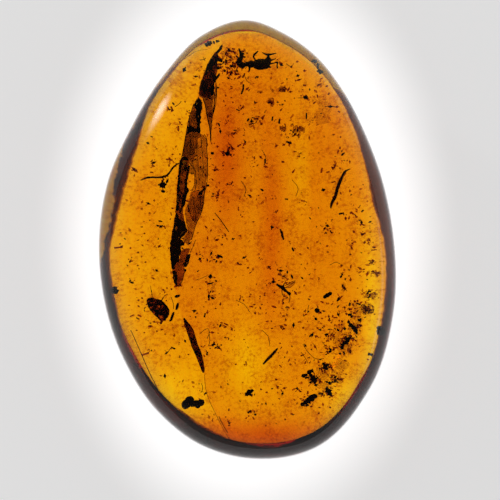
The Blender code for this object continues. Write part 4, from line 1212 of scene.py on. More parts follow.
class AMBER_OT_stone(bpy.types.Operator):
    """Make the clear stone in place of the two amber halves"""

    bl_idname = "amber.make_stone"
    bl_label = "Stone"

    def execute(self, context):
        settings = context.scene.amber_stone
        half = settings.rings // 2
        turns = [math.pi / 2 * k / CURVE_POINTS for k in range(CURVE_POINTS + 1)]
        crown = even_steps([math.sin(turn) ** (2 / CROWN_ROUNDING[0]) for turn in turns],
                           crown_height, half)
        shares = [0.0] + [FLAT_SHARE + (1 - FLAT_SHARE) * math.sin(turn) for turn in turns]
        backs = {}
        pick()
        bpy.ops.mesh.primitive_uv_sphere_add(segments=settings.segments,
                                             ring_count=settings.rings, radius=1.0)
        stone = context.object
        for vertex in stone.data.vertices:
            x, y, z = vertex.co
            ring = round(math.acos(max(-1.0, min(1.0, z))) / math.pi * settings.rings)
            bearing = math.atan2(y, x)
            fullness = round(around(BACK_FULLNESS, bearing), 4)
            if fullness not in backs:
                backs[fullness] = even_steps(
                    shares, lambda share: back_height(share, fullness), settings.rings - half)
            share, height = (crown[ring] if ring <= half
                             else backs[fullness][settings.rings - ring])
            reach = outline_radius(bearing) * share
            place = Vector((reach * math.cos(bearing), reach * math.sin(bearing), height))
            if ring < half:
                place.z -= wave_depth(place, share)
            vertex.co = place
        fit_to_frame(stone)
        finish(stone, "amber_stone", amber_material(settings), ("amber_lower", "amber_upper"),
               angle=180.0)
        return {"FINISHED"}


def wave_depth(place, share):
    """How far polishing has sunk the crown at a place, in mm."""
    wave = 0.5 + 0.5 * noise.noise(Vector((place.x, place.y, 0)) / WAVE_SIZE)
    return WAVINESS * wave * (1 - share**4)


def even_steps(shares, height_at, count):
    """Share of the reach and height at evenly spaced steps from a side's middle to its edge."""
    line = [(share, height_at(min(1.0, share))) for share in shares]
    reach = max(radius for _, radius in OUTLINE)
    lengths = [0.0]
    for start, end in zip(line, line[1:]):
        lengths.append(lengths[-1] + math.hypot((end[0] - start[0]) * reach,
                                                end[1] - start[1]))
    levels = []
    at = 0
    for step in range(count + 1):
        target = lengths[-1] * step / count
        while at < len(line) - 2 and lengths[at + 1] < target:
            at += 1
        u = (target - lengths[at]) / (lengths[at + 1] - lengths[at])
        share = line[at][0] * (1 - u) + line[at + 1][0] * u
        levels.append((share, height_at(min(1.0, share))))
    return levels


def fit_to_frame(stone):
    """Stretch the stone by a hair, so that it fills the frame's box and no more."""
    for axis in range(3):
        values = [vertex.co[axis] for vertex in stone.data.vertices]
        low, high = min(values), max(values)
        goal_low, goal_high = CAD_LOW[axis] / MM, CAD_HIGH[axis] / MM
        stretch = (goal_high - goal_low) / (high - low)
        for vertex in stone.data.vertices:
            vertex.co[axis] = goal_low + (vertex.co[axis] - low) * stretch


class AMBER_OT_rim_shade(bpy.types.Operator):
    """Make the dark brown sheet that runs in from the girdle and paints the shade of the stone's
    dark rim
    """

    bl_idname = "amber.make_rind"
    bl_label = "Rind"

    def execute(self, context):
        settings = context.scene.amber_stone
        pick()
        bpy.ops.mesh.primitive_torus_add(major_segments=settings.segments,
                                         minor_segments=2 * RIM_SHADE_STEPS)
        rim_shade = context.object
        inward, pale = [], []
        for vertex in rim_shade.data.vertices:
            turn, step = divmod(vertex.index, 2 * RIM_SHADE_STEPS)
            bearing = 2 * math.pi * turn / settings.segments
            radius = outline_radius(bearing)
            top = step < RIM_SHADE_STEPS
            level = (step if top else 2 * RIM_SHADE_STEPS - 1 - step) / (RIM_SHADE_STEPS - 1)
            depth = level**RIM_SHADE_CROWDING
            reach = 1 - around(RIM_SHADE_WIDTH, bearing) * PICTURE_STEP / radius * depth
            far = radius * min(reach, RIM_SHADE_REACH) / PICTURE_STEP
            place = seen_place(PICTURE_MIDDLE[0] + far * math.cos(bearing),
                               PICTURE_MIDDLE[1] - far * math.sin(bearing), RIM_SHADE_HEIGHT)
            lift = RIM_SHADE_THICKNESS / 2 if top else -RIM_SHADE_THICKNESS / 2
            vertex.co = place + Vector((0, 0, lift))
            inward.append(1 - depth)
            pale.append(max(0.0, min(1.0, around(RIM_SHADE_TAN, bearing))) if level else 0.0)
        add_values(rim_shade, "rind_depth", inward)
        add_values(rim_shade, "rind_pale", pale)
        # A brown sheet that paints the shade of the stone's dark rim, paler tan in places
        finish(rim_shade, "weathered_rind", rim_shade_material(tuple(settings.rim_shade)),
               angle=180.0)
        return {"FINISHED"}


def add_values(thing, name, values):
    """Give each corner of a piece a value that its material reads."""
    attribute = thing.data.attributes.new(name, "FLOAT", "POINT")
    attribute.data.foreach_set("value", values)


def rim_shade_material(tint):
    """Painted rim shade: a brown, cloudy sheet with a crisp inner edge that paints the shade of
    the stone's dark rim, and a paler tan in places.
    """
    material, tree, shader = new_material("weathered_rind")
    depth = add_node(tree, "ShaderNodeAttribute", attribute_name="rind_depth")
    pale = add_node(tree, "ShaderNodeAttribute", attribute_name="rind_pale")
    cloud = object_noise(tree, 0.7, detail=5.0, roughness=0.62)
    wave = weighted(tree, cloud, 0.36, depth.outputs["Fac"])
    brown = ramp(tree, wave, (
        (0.13, (1.0, 1.0, 1.0)), (0.21, (0.6, 0.42, 0.3)), (0.31, tint),
        (1.0, scaled(tint, 1.3))))
    tan = ramp(tree, cloud, ((0.34, (0.75, 0.2, 0.02)), (0.48, (1.0, 0.38, 0.03)),
                             (0.66, (1.0, 0.54, 0.08))))
    tatters = object_noise(tree, 0.45, detail=4.0, roughness=0.65, stretch=(1, 0.4, 1))
    torn = weighted(tree, tatters, RIM_SHADE_RAGGED, wave)
    tan_share = spread(tree, weighted(tree, pale.outputs["Fac"], RIM_SHADE_TAN_WEIGHT, torn),
                    0.0, 1.0, 1.72, 1.9)
    mix = add_node(tree, "ShaderNodeMix", data_type="RGBA")
    tree.links.new(tan_share, mix.inputs["Factor"])
    tree.links.new(brown, mix.inputs["A"])
    tree.links.new(tan, mix.inputs["B"])
    tree.links.new(mix.outputs["Result"], shader.inputs["Base Color"])
    clear_shader(shader)
    clear = add_node(tree, "ShaderNodeMath", operation="SUBTRACT", use_clamp=True)
    tree.links.new(spread(tree, wave, 1.0, RIM_SHADE_CLEAR, 0.21, 0.37), clear.inputs[0])
    tree.links.new(tan_share, clear.inputs[1])
    tree.links.new(clear.outputs["Value"], shader.inputs["Transmission Weight"])
    tree.links.new(tan_share, shader.inputs["Subsurface Weight"])
    shader.inputs["Subsurface Radius"].default_value = (1.0, 1.0, 1.0)
    shader.inputs["Subsurface Scale"].default_value = RIM_TAN_SPREAD * MM
    shader.inputs["Specular IOR Level"].default_value = 0.0
    return material


class AMBER_OT_pour(bpy.types.Operator):
    """Make the second pour of resin, which is deeper in colour where it is thicker, with a few
    zones made paler to paint light and deeper to paint shade
    """

    bl_idname = "amber.make_pour"
    bl_label = "Second pour"

    def execute(self, context):
        settings = context.scene.amber_stone
        columns, rows = POUR_GRID
        pick()
        bpy.ops.mesh.primitive_grid_add(x_subdivisions=columns, y_subdivisions=rows, size=2.0)
        pour = context.object
        places = {}
        for vertex in pour.data.vertices:
            u, v = (vertex.co.x + 1) / 2, (vertex.co.y + 1) / 2
            py = POUR_TOP + (POUR_BOTTOM - POUR_TOP) * (1 - v)
            px = pour_column(u, py)
            places[(round(vertex.co.x, 5), round(vertex.co.y, 5))] = pour_place(px, py)
        solid = pour.modifiers.new("depth", "SOLIDIFY")
        solid.thickness = 1.0
        solid.offset = 0.0
        apply_modifiers(pour)
        depths = []
        for vertex in pour.data.vertices:
            place, depth = places[(round(vertex.co.x, 5), round(vertex.co.y, 5))]
            vertex.co = place + Vector((0, 0, math.copysign(POUR_FILM / 2, vertex.co.z)))
            depths.append(depth / POUR_DEEPEST)
        add_values(pour, "pour_depth", depths)
        finish(pour, "second_pour", pour_material(tuple(settings.pour_colour)))
        return {"FINISHED"}


def pour_material(millimetre):
    """Clear resin that tints light by its depth and its cloudiness."""
    material, tree, shader = new_material("second_pour")
    depth = add_node(tree, "ShaderNodeAttribute", attribute_name="pour_depth")
    stops = [(k / 8, tuple(part ** (POUR_DEEPEST * k / 8) for part in millimetre))
             for k in range(9)]
    both = add_node(tree, "ShaderNodeMix", {"Factor": 1.0}, data_type="RGBA",
                    blend_type="MULTIPLY")
    tree.links.new(ramp(tree, depth.outputs["Fac"], stops), both.inputs["A"])
    tree.links.new(cloudiness(tree), both.inputs["B"])
    tree.links.new(both.outputs["Result"], shader.inputs["Base Color"])
    clear_shader(shader)
    return material


def cloudiness(tree):
    """Fine cloudy mottles and drawn-out streaks in the resin, as tints of the passing light."""
    mottle = object_noise(tree, 1.1, detail=5.0, roughness=0.62)
    streak = object_noise(tree, 0.5, stretch=(1, 0.1, 1))
    grit = object_noise(tree, 0.2, roughness=0.6)
    cloud = weighted(tree, grit, 0.7, weighted(tree, streak, 0.15, weighted(tree, mottle, 0.5)))
    return ramp(tree, cloud, (
        (0.52, (0.62, 0.40, 0.4)), (0.61, (0.86, 0.76, 0.76)), (0.69, (0.99, 0.96, 0.9)),
        (0.77, (1.0, 1.0, 1.0))))


def smooth_step(value):
    value = max(0.0, min(1.0, value))
    return value * value * (3 - 2 * value)


def flow_edge(py):
    """Where the second pour ends on its left, at a height of the picture."""
    if py <= FLOW_EDGE[0][1]:
        return FLOW_EDGE[0][0]
    for (x, y), (next_x, next_y) in zip(FLOW_EDGE, FLOW_EDGE[1:]):
        if y <= py <= next_y:
            return x + (next_x - x) * (py - y) / (next_y - y)
    return FLOW_EDGE[-1][0]


def stone_side(py, side):
    """The stone's edge at a height of the picture, on its left (-1) or its right (1)."""
    y = (PICTURE_MIDDLE[1] - py) * PICTURE_STEP
    low, high = 0.0, 16.0
    for _ in range(24):
        x = (low + high) / 2
        inside = math.hypot(x, y) < POUR_REACH * outline_radius(math.atan2(y, side * x))
        low, high = (x, high) if inside else (low, x)
    return PICTURE_MIDDLE[0] + side * low / PICTURE_STEP


def pour_column(u, py):
    """Across the picture at this height: a third of the way to the flow's edge, then on."""
    left, edge, right = stone_side(py, -1), flow_edge(py), stone_side(py, 1)
    edge = max(left + POUR_MARGIN, min(right - POUR_MARGIN, edge))
    if u < POUR_SPLIT:
        return left + (edge - left) * u / POUR_SPLIT
    start = edge + POUR_SEAM
    return start + (right - start) * (u - POUR_SPLIT) / (1 - POUR_SPLIT)


def pour_place(px, py):
    """Place in mm and depth of colour, in mm of resin, of the second pour at a point."""
    x, y = from_picture(px, py)
    share = math.hypot(x, y) / outline_radius(math.atan2(y, x))
    depth = POUR_RIGHT if px > flow_edge(py) else POUR_LEFT
    # Some zones paint light, by less depth, and shade, by more
    for (zone_x, zone_y), (wide, high), more in POUR_ZONES_AND_PAINTED_LIGHT:
        far = ((px - zone_x) / wide) ** 2 + ((py - zone_y) / high) ** 2
        depth += more * math.exp(-far)
    streak = noise.noise(Vector((px / 14, py / 90, 0))) + 0.5 * noise.noise(
        Vector((px / 4, py / 60, 7)))
    depth = max(0.0, depth + POUR_STREAKS * streak) * smooth_step((POUR_REACH - share) / POUR_FADE)
    return seen_place(px, py, lift=POUR_LIFT), min(depth, POUR_DEEPEST)


class AMBER_OT_ant(bpy.types.Operator):
    """Make the ant: gaster, waist, thorax, head, feelers and legs"""

    bl_idname = "amber.make_ant"
    bl_label = "Ant"

    def execute(self, context):
        settings = context.scene.amber_insects
        parts = add_members(ANT_PARTS, ANT_LEGS)
        ring_gaster(parts[0])
        body = fuse(parts, settings.detail)
        roughen(body, 0.012, 0.05)
        finish(body, "ant_body", shell_material("ant_shell", settings.black, 0.28), ("ant",))
        return {"FINISHED"}


def ring_gaster(ball):
    """Press shallow rings into the gaster, between its plates."""
    centre = sum((vertex.co for vertex in ball.data.vertices), Vector()) \
        / len(ball.data.vertices)
    reach = max(abs(vertex.co.x - centre.x) for vertex in ball.data.vertices)
    for vertex in ball.data.vertices:
        offset = vertex.co - centre
        wave = abs(math.sin(math.pi * ANT_RINGS / 2 * (offset.x / reach + 1)))
        pinch = 1 - 0.07 * (1 - wave) ** 3
        vertex.co = centre + Vector((offset.x, offset.y * pinch, offset.z * pinch))


class AMBER_OT_beetle(bpy.types.Operator):
    """Make the beetle: a mottled body that tapers to its tail, with a few limbs"""

    bl_idname = "amber.make_beetle"
    bl_label = "Beetle"

    def execute(self, context):
        settings = context.scene.amber_insects
        middle = seen_place(*BEETLE_MIDDLE)
        edge = [seen_place(*point) for point in BEETLE_EDGE]
        body = add_ball(middle, (1, 1, 1), segments=64, rings=40)
        for vertex in body.data.vertices:
            offset = vertex.co - middle
            reach = edge_reach(edge, middle, math.atan2(offset.y, offset.x))
            offset.x *= reach
            offset.y *= reach
            offset.z *= BEETLE_HALF
            vertex.co = middle + offset
        body = fuse([body] + add_members((BEETLE_HEAD,), BEETLE_LIMBS), settings.detail)
        roughen(body, 0.06, 0.12)
        finish(body, "beetle_body", beetle_material(settings.brown), ("beetle",))
        return {"FINISHED"}


def edge_reach(edge, middle, bearing):
    """Distance from a middle to a closed edge, at a bearing."""
    way = Vector((math.cos(bearing), math.sin(bearing)))
    for start, end in zip(edge, edge[1:] + edge[:1]):
        a = Vector((start.x - middle.x, start.y - middle.y))
        b = Vector((end.x - middle.x, end.y - middle.y))
        span = b - a
        cross = way.x * span.y - way.y * span.x
        if abs(cross) < 1e-9:
            continue
        along = (a.x * span.y - a.y * span.x) / cross
        share = (a.x * way.y - a.y * way.x) / cross
        if along > 0 and -1e-6 <= share <= 1 + 1e-6:
            return along
    raise ValueError("the edge doesn't go all the way round its middle")


class AMBER_OT_midge(bpy.types.Operator):
    """Make the midge: body, legs and two clear wings"""

    bl_idname = "amber.make_midge"
    bl_label = "Midge"

    def execute(self, context):
        settings = context.scene.amber_insects
        body = fuse(add_members(MIDGE_PARTS, MIDGE_LEGS), settings.detail)
        roughen(body, 0.01, 0.05)
        finish(body, "midge_body", shell_material("midge_shell", settings.black, 0.35),
               ("midge",))
        pair = tuple(zip((WING_LIFT, -WING_LIFT), MIDGE_WINGS))
        wings = [add_patch(edge, WING_THICKNESS, 0.012, lift=lift, jitter=0.0, seed=1)
                 for lift, edge in pair]
        veins = [add_limb(halves, (edge[0], edge[bend], edge[3]), lift=lift)
                 for halves, bend in WING_VEINS for lift, edge in pair]
        finish(join(wings), "midge_wings",
               clear_tint_material("wing_skin", (0.72, 0.55, 0.42)))
        finish(join(veins), "midge_wing_veins",
               shell_material("vein_shell", settings.black, 0.4))
        return {"FINISHED"}


class AMBER_OT_films(bpy.types.Operator):
    """Make the two bark films: clear brown skins with black crusts on them"""

    bl_idname = "amber.make_films"
    bl_label = "Bark films"

    def execute(self, context):
        settings = context.scene.amber_debris
        skins = {
            "plain": skin_material("bark_skin", scaled(settings.skin, 0.82), 0.16, 0.4),
            "dark": skin_material("bark_skin_dark", scaled(settings.skin, 0.42), 0.2, 0.6),
            "middle": skin_material("bark_skin_middle", scaled(settings.skin, 0.6), 0.2, 0.5),
            "red": skin_material("bark_skin_red", (0.27, 0.12, 0.1), 0.2, 0.5),
        }
        strip = mottled_skin_material("bark_strip", tuple(settings.strip))
        crust = crust_material("bark_crust", tuple(settings.crust), (0.3, 0.12, 0.08))
        upper = add_patches(UPPER_SKINS, 0, thickness=FILM_THICKNESS / 2, detail=0.035,
                            lumps=(0.02, 0.5))
        finish(upper, "bark_skin_upper", skins["dark"], ("bark_film_upper",))
        finish(add_patches(UPPER_CRUSTS, 10, **CRUST_PATCH), "bark_crust_upper", crust)
        for k, (edge, (skin, lift)) in enumerate(zip(LOWER_SKINS, LOWER_FINISH)):
            patch = add_patch(edge, FILM_THICKNESS / 2, 0.04, lift=lift, seed=20 + k,
                              lumps=(0.02, 0.5))
            finish(patch, f"bark_skin_lower_{k + 1}", skins[skin],
                   () if k else ("bark_film_lower",))
        for k, edge in enumerate(BARK_STRIPS):
            patch = add_patch(edge, FILM_THICKNESS, 0.03, lift=-0.12, seed=40 + k,
                              lumps=(0.08, 0.2))
            finish(patch, f"bark_strip_{k + 1}", strip)
        finish(add_patches(LOWER_CRUSTS, 30, **CRUST_PATCH), "bark_crust_lower", crust)
        rims = join([add_limb([half] * len(points), points, steps=3)
                     for half, points in FILM_RIMS])
        roughen(rims, 0.05, 0.1)
        finish(rims, "bark_edges", crust)
        # Pale flecks that paint the crust's glints, its small bright reflections
        glints = join([add_ball(seen_place(px, py, lift=0.17),
                                (long * PICTURE_STEP, wide * PICTURE_STEP, 0.02), turn, 12, 8)
                       for px, py, long, wide, turn in GLINTS])
        roughen(glints, 0.03, 0.06)
        finish(glints, "bark_glints", glint_material())
        return {"FINISHED"}


class AMBER_OT_plants(bpy.types.Operator):
    """Make the needle, the twig, the rootlet, the star-shaped hair and the rods"""

    bl_idname = "amber.make_plants"
    bl_label = "Plant pieces"

    def execute(self, context):
        wood = plant_material("plant_fibre", (0.030, 0.012, 0.006))
        red = plant_material("plant_thread", (0.05, 0.016, 0.007))
        blade = mottled_skin_material("needle_blade", (0.11, 0.036, 0.02))
        for name, route, material in (("needle", NEEDLE, blade), ("twig", TWIG, red),
                                      ("rootlet", ROOTLET, red)):
            stem = add_limb([half for _, _, half in route], [(px, py) for px, py, _ in route],
                            steps=8, roundness=4)
            roughen(stem, 0.05 if name == "needle" else 0.035, 0.14)
            finish(stem, f"{name}_piece", material, (name,))
        for name, (half, points) in RODS.items():
            halves = [half * 0.6] + [half] * (len(points) - 2) + [half * 0.6]
            rod = add_limb(halves, points, steps=6, roundness=3)
            roughen(rod, 0.035, 0.1)
            finish(rod, f"{name}_piece", wood, (name,))
        px, py = STELLATE_MIDDLE
        rays = []
        for bearing, reach in STELLATE_RAYS:
            turn = math.radians(bearing)
            tip = (px + reach * math.cos(turn), py - reach * math.sin(turn))
            middle = ((px + tip[0]) / 2, (py + tip[1]) / 2)
            rays.append(((0.12, 0.09, 0.035), (STELLATE_MIDDLE, middle, tip)))
        star = fuse(add_members(STELLATE_PARTS, rays + [STELLATE_STALK]), 0.02)
        roughen(star, 0.02, 0.06)
        finish(star, "stellate_hair_piece", wood, ("stellate_hair",))
        return {"FINISHED"}


class AMBER_OT_crumbs(bpy.types.Operator):
    """Make the droppings, the pellets and the crumbs of bark, each as a rough clump"""

    bl_idname = "amber.make_crumbs"
    bl_label = "Droppings and crumbs"

    def execute(self, context):
        settings = context.scene.amber_debris
        finishes = {
            "bark": crust_material("crumb_bark", tuple(settings.crust), (0.06, 0.025, 0.015)),
            "dropping": crust_material("dropping_grain", (0.012, 0.010, 0.004),
                                       (0.06, 0.055, 0.02)),
            "pale": speckled_material(),
        }
        for name, blobs in CLUMPS.items():
            kind = CLUMP_FINISH.get(name, "bark")
            draw = random.Random(name)
            parts = []
            for px, py, radius in blobs:
                half = radius * PICTURE_STEP
                flat = half * draw.uniform(0.7, 0.9)
                parts.append(add_ball(seen_place(px, py, lift=draw.uniform(-0.05, 0.05)),
                                      (half, half * draw.uniform(0.85, 1.1), flat),
                                      draw.uniform(0, 180), 16, 12))
            clump = fuse(parts, CLUMP_DETAIL, smoothing=1)
            roughen(clump, 0.02 if name.startswith("pellet") else 0.11, 0.09)
            finish(clump, f"{name}_piece", finishes[kind], (name,))
        return {"FINISHED"}


class AMBER_OT_specks(bpy.types.Operator):
    """Make the single grains, the fine hairs, the fibres and the loose specks"""

    bl_idname = "amber.make_specks"
    bl_label = "Specks and hairs"

    def execute(self, context):
        settings = context.scene.amber_debris
        draw = random.Random(settings.seed)
        shape = grain_shape()
        finishes = {
            "dark": crust_material("speck_dark", (0.012, 0.004, 0.002), (0.08, 0.03, 0.014)),
            "brown": clear_tint_material("speck_brown", (0.30, 0.09, 0.05)),
            "faint": clear_tint_material("speck_faint", (0.62, 0.38, 0.27)),
        }
        for kind, copies in strew(draw, settings.speck_size).items():
            finish(scatter(shape, copies), f"specks_{kind}", finishes[kind])
        smudges = join([add_smudge(draw, *smudge) for smudge in SMUDGES])
        finish(smudges, "dust_smudges", dust_material())
        # One thread among the hairs paints the shade line at the edge of a polished facet
        hairs = [add_limb([half] * len(points), points, lift=draw.uniform(-0.8, 0.8),
                          roundness=0) for half, points in HAIRS_AND_FACET_SHADE]
        finish(join(hairs), "hairs", plant_material("hair_fibre", (0.06, 0.022, 0.01)))
        fibres = [fibre for block in FIBRE_BLOCKS for fibre in add_fibres(draw, *block)]
        finish(join(fibres), "fibre_blocks", clear_tint_material("fibre_haze", (0.5, 0.32, 0.24)))
        return {"FINISHED"}


def strew(draw, middling):
    """Places, half sizes and turns of all grains and specks, by kind."""
    grains = {"dark": [], "brown": [], "faint": []}
    for px, py, long, wide, turn in GRAINS:
        place = seen_place(px, py, lift=draw.uniform(-0.6, 0.6))
        halves = Vector((long, wide, min(long, wide))) * PICTURE_STEP
        kind = "dark" if long * wide > DARK_GRAIN else "brown"
        grains[kind].append((place, halves, math.radians(turn), draw.random()))
    for middle, half_wide, half_high, count in SPECK_PATCHES:
        for _ in range(count):
            spot = speck_spot(draw, *middle, half_wide, half_high)
            if spot:
                place = seen_place(*spot, lift=draw.triangular(*SPECK_LIFT))
                grains[speck_kind(draw)].append(speck(draw, place, middling))
    clusters = list(CLUSTERS)
    for _ in range(CLUSTER_NUMBER):
        spot = speck_spot(draw, *CLUSTER_FIELD)
        if spot:
            clusters.append((spot, draw.uniform(*CLUSTER_SPREAD), draw.randint(*CLUSTER_GRAINS)))
    for (px, py), reach, count in clusters:
        lift = draw.uniform(-0.4, 0.4)
        for _ in range(count):
            place = seen_place(px + draw.gauss(0, reach), py + 0.8 * draw.gauss(0, reach),
                               lift=lift + draw.uniform(-0.1, 0.1))
            grains[speck_kind(draw)].append(speck(draw, place, middling))
    return grains


def add_fibres(draw, middle, half_wide, half_high, count):
    """A row of short upright fibres, each a little bent."""
    fibres = []
    for k in range(count):
        x = middle[0] + half_wide * (2 * (k + draw.uniform(0.2, 0.8)) / count - 1)
        top = middle[1] - half_high * draw.uniform(0.5, 1.0)
        bottom = middle[1] + half_high * draw.uniform(0.4, 1.0)
        points = ((x, top), (x + 0.2, (top + bottom) / 2), (x, bottom))
        route = [(seen_place(*point, lift=FIBRE_LIFT), half)
                 for point, half in zip(points, FIBRE_HALVES)]
        fibres.append(add_tube(route, roundness=0))
    return fibres


def speck_spot(draw, px, py, half_wide, half_high):
    """A random point inside the stone and inside an oval patch, or None."""
    for _ in range(SPECK_TRIES):
        turn, far = draw.uniform(0, 2 * math.pi), math.sqrt(draw.random())
        sx = px + half_wide * far * math.cos(turn)
        sy = py + half_high * far * math.sin(turn)
        x, y = from_picture(sx, sy)
        if math.hypot(x, y) < SPECK_REACH * outline_radius(math.atan2(y, x)):
            return sx, sy
    return None


def speck_kind(draw):
    """Some specks are black, more are brown, and the rest only tint the light."""
    return draw.choices(("dark", "brown", "faint"), SPECK_SHARES)[0]


def speck(draw, place, middling):
    """A place, half sizes and turns for one loose speck."""
    size = min(2 * middling, middling * draw.lognormvariate(0, 0.5))
    halves = Vector((size * draw.uniform(1.0, 2.2), size * 0.8, size * 0.7))
    return place, halves, draw.uniform(0, math.pi), draw.random()


def add_smudge(draw, middle, wide, high, turn, depth):
    """A soft cloud of dust: overlapping lumps that thin out towards its edge."""
    cosine, sine = math.cos(math.radians(turn)), math.sin(math.radians(turn))
    lumps = []
    for _ in range(SMUDGE_LUMPS):
        bearing, far = draw.uniform(0, 2 * math.pi), SMUDGE_SPREAD * math.sqrt(draw.random())
        u, v = wide * far * math.cos(bearing), high * far * math.sin(bearing)
        share = draw.uniform(0.2, 0.42) * (1.2 - 0.8 * far)
        place = seen_place(middle[0] + u * cosine - v * sine, middle[1] - u * sine - v * cosine,
                           lift=SMUDGE_LIFT)
        lumps.append(add_ball(place, (wide * share * PICTURE_STEP, high * share * PICTURE_STEP,
                                      2 * depth * share), turn, 16, 10))
    return fuse(lumps, SMUDGE_DETAIL, smoothing=1)


def dust_material():
    """Fine brown dust: the thicker it lies, the less light it lets by."""
    material, tree, shader = new_material("dust_cloud")
    grit = object_noise(tree, 0.12, detail=4.0, roughness=0.7)
    paint(tree, shader, grit, ((0.42, (0.62, 0.5, 0.42)), (0.55, (1.0, 1.0, 1.0))))
    clear_shader(shader)
    absorb(tree, DUST_COLOUR, DUST_DENSITY)
    return material


def grain_shape():
    """The grain that every speck is a copy of: a small rough pebble."""
    pick()
    bpy.ops.mesh.primitive_uv_sphere_add(segments=8, ring_count=5, radius=1.0)
    grain = bpy.context.object
    bpy.ops.object.mode_set(mode="EDIT")
    bpy.ops.mesh.select_all(action="SELECT")
    bpy.ops.transform.vertex_random(offset=0.16, uniform=0.6, normal=0.3, seed=4)
    bpy.ops.object.mode_set(mode="OBJECT")
    corners = [vertex.co.copy() for vertex in grain.data.vertices]
    faces = [tuple(face.vertices) for face in grain.data.polygons]
    bpy.data.objects.remove(grain)
    return corners, faces


def scatter(shape, copies):
    """Many turned and stretched copies of one small shape, as one mesh."""
    corners, faces = shape
    points, sides = [], []
    for place, halves, turn, tip in copies:
        start = len(points)
        cosine, sine = math.cos(turn), math.sin(turn)
        for corner in corners:
            bent = corner * (1 + 0.3 * math.sin(5 * corner.x + 9 * tip))
            x, y = bent.x * halves.x, bent.y * halves.y
            points.append((place.x + x * cosine - y * sine, place.y + x * sine + y * cosine,
                           place.z + bent.z * halves.z))
        sides += [tuple(start + corner for corner in face) for face in faces]
    mesh = bpy.data.meshes.new("specks")
    mesh.from_pydata(points, [], sides)
    return add_thing("specks", mesh)


class AMBER_OT_stage(bpy.types.Operator):
    """Make the pale floor, the soft lights and the camera that looks straight down"""

    bl_idname = "amber.make_stage"
    bl_label = "Stage"

    def execute(self, context):
        settings = context.scene.amber_stage
        pick()
        bpy.ops.mesh.primitive_plane_add(size=4.0, location=(0, 0, -0.02 * MM))
        floor = context.object
        floor.name = "floor"
        material, tree, shader = new_material("floor")
        shader.inputs["Base Color"].default_value = (*settings.floor, 1.0)
        shader.inputs["Roughness"].default_value = 0.9
        shader.inputs["Specular IOR Level"].default_value = 0.2
        shader.inputs["Emission Color"].default_value = (1.0, 1.0, 1.0, 1.0)
        tree.links.new(pad_light(tree, settings.glow, settings.surround),
                       shader.inputs["Emission Strength"])
        floor.data.materials.append(material)
        add_sky()
        for name, place_and_size in SOFTBOXES.items():
            add_softbox(name, *place_and_size, getattr(settings, name))
        add_camera(settings.distance)
        return {"FINISHED"}


def pad_light(tree, inside, outside):
    """Full light under the stone, fading softly around it."""
    place = add_node(tree, "ShaderNodeTexCoord")
    mapping = add_node(tree, "ShaderNodeMapping",
                       {"Scale": (1 / (PAD_HALVES[0] * MM), 1 / (PAD_HALVES[1] * MM), 0.0)})
    far = add_node(tree, "ShaderNodeVectorMath", operation="LENGTH")
    fade = add_node(tree, "ShaderNodeMapRange",
                    {"From Min": 1.0, "From Max": PAD_FADE, "To Min": inside,
                     "To Max": outside}, interpolation_type="SMOOTHSTEP")
    tree.links.new(place.outputs["Object"], mapping.inputs["Vector"])
    tree.links.new(mapping.outputs["Vector"], far.inputs[0])
    tree.links.new(far.outputs["Value"], fade.inputs["Value"])
    return fade.outputs["Result"]


def add_sky():
    """A plain studio sky: soft and brightest low above the horizon, dim overhead, and dark below
    the horizon.
    """
    world = bpy.data.worlds.new("sky")
    bpy.context.scene.world = world
    world.use_nodes = True
    tree = world.node_tree
    place = add_node(tree, "ShaderNodeTexCoord")
    apart = add_node(tree, "ShaderNodeSeparateXYZ")
    height = add_node(tree, "ShaderNodeMapRange", {"From Min": -1.0, "From Max": 1.0})
    brightest = max(light for _, light in SKY)
    tree.links.new(place.outputs["Generated"], apart.inputs["Vector"])
    tree.links.new(apart.outputs["Z"], height.inputs["Value"])
    stops = [((level + 1) / 2, (light / brightest,) * 3) for level, light in SKY]
    background = tree.nodes["Background"]
    tree.links.new(ramp(tree, height.outputs["Result"], stops), background.inputs["Color"])
    background.inputs["Strength"].default_value = brightest


def add_softbox(name, bearing, elevation, size, power):
    """A soft light at a bearing clockwise from the stone's narrow end, with a faded edge."""
    light = bpy.data.lights.new(name, "AREA")
    light.shape = "RECTANGLE"
    light.size, light.size_y = size
    light.energy = power
    light.use_nodes = True
    tree = light.node_tree
    place = add_node(tree, "ShaderNodeNewGeometry")
    offset = add_node(tree, "ShaderNodeVectorMath", {1: (0.5, 0.5, 0.0)}, operation="SUBTRACT")
    length = add_node(tree, "ShaderNodeVectorMath", operation="LENGTH")
    fade = add_node(tree, "ShaderNodeMapRange",
                    {"From Min": 0.5, "From Max": 0.0, "To Min": 0.0, "To Max": 1.0},
                    interpolation_type="SMOOTHSTEP")
    tree.links.new(place.outputs["Parametric"], offset.inputs[0])
    tree.links.new(offset.outputs["Vector"], length.inputs[0])
    tree.links.new(length.outputs["Value"], fade.inputs["Value"])
    tree.links.new(fade.outputs["Result"], tree.nodes["Emission"].inputs["Strength"])
    lamp = add_thing(name, light)
    turn, rise = math.radians(bearing), math.radians(elevation)
    way = Vector((math.sin(turn) * math.cos(rise), math.cos(turn) * math.cos(rise),
                  math.sin(rise)))
    lamp.location = way * LIGHT_DISTANCE + Vector((0, 0, GIRDLE_HEIGHT * MM))
    lamp.rotation_euler = (-way).to_track_quat("-Z", "Y").to_euler()


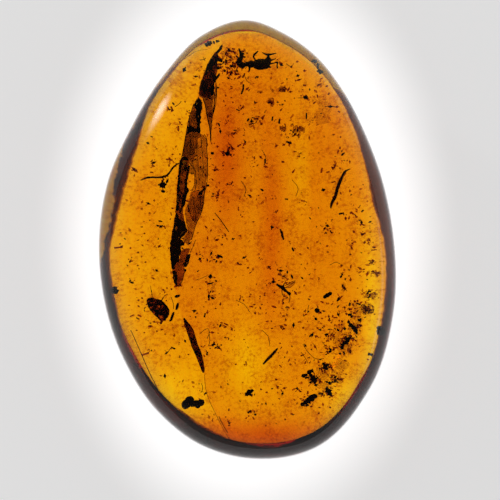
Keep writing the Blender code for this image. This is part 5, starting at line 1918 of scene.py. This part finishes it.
def add_camera(distance):
    """A long lens straight above the stone."""
    camera = bpy.data.cameras.new("camera")
    camera.sensor_width = 36.0
    camera.lens = camera.sensor_width * distance / (VIEW_WIDTH * MM)
    thing = add_thing("camera", camera)
    thing.location = Vector(VIEW_AIM) * MM + Vector((0, 0, distance))
    bpy.context.scene.camera = thing


class AMBER_PT_panel(bpy.types.Panel):
    """All pieces, in the order in which they are made"""

    bl_idname = "AMBER_PT_panel"
    bl_label = "Insect in amber"
    bl_space_type = "VIEW_3D"
    bl_region_type = "UI"
    bl_category = "Amber"

    def draw(self, context):
        for name, group in SETTINGS.items():
            box = self.layout.box()
            box.label(text=name.replace("_", " ").capitalize())
            for key in group.__annotations__:
                box.prop(getattr(context.scene, name), key)
        for operator in OPERATORS:
            self.layout.operator(operator.bl_idname)


SETTINGS = {
    "amber_stone": StoneSettings, "amber_insects": InsectSettings,
    "amber_debris": DebrisSettings, "amber_stage": StageSettings,
}
OPERATORS = (
    AMBER_OT_stone, AMBER_OT_rim_shade, AMBER_OT_pour, AMBER_OT_ant, AMBER_OT_beetle, AMBER_OT_midge,
    AMBER_OT_films, AMBER_OT_plants, AMBER_OT_crumbs, AMBER_OT_specks, AMBER_OT_stage,
)


def register():
    for group in SETTINGS.values():
        bpy.utils.register_class(group)
    for operator in OPERATORS:
        bpy.utils.register_class(operator)
    bpy.utils.register_class(AMBER_PT_panel)
    for name, group in SETTINGS.items():
        setattr(bpy.types.Scene, name, PointerProperty(type=group))


def unregister():
    for name in SETTINGS:
        delattr(bpy.types.Scene, name)
    bpy.utils.unregister_class(AMBER_PT_panel)
    for operator in reversed(OPERATORS):
        bpy.utils.unregister_class(operator)
    for group in reversed(SETTINGS.values()):
        bpy.utils.unregister_class(group)


def main():
    register()
    bpy.ops.amber.make_stone()
    bpy.ops.amber.make_rind()
    bpy.ops.amber.make_pour()
    bpy.ops.amber.make_ant()
    bpy.ops.amber.make_beetle()
    bpy.ops.amber.make_midge()
    bpy.ops.amber.make_films()
    bpy.ops.amber.make_plants()
    bpy.ops.amber.make_crumbs()
    bpy.ops.amber.make_specks()
    bpy.ops.amber.make_stage()
    bpy.context.scene.view_settings.view_transform = "Standard"


if __name__ == "__main__":
    main()
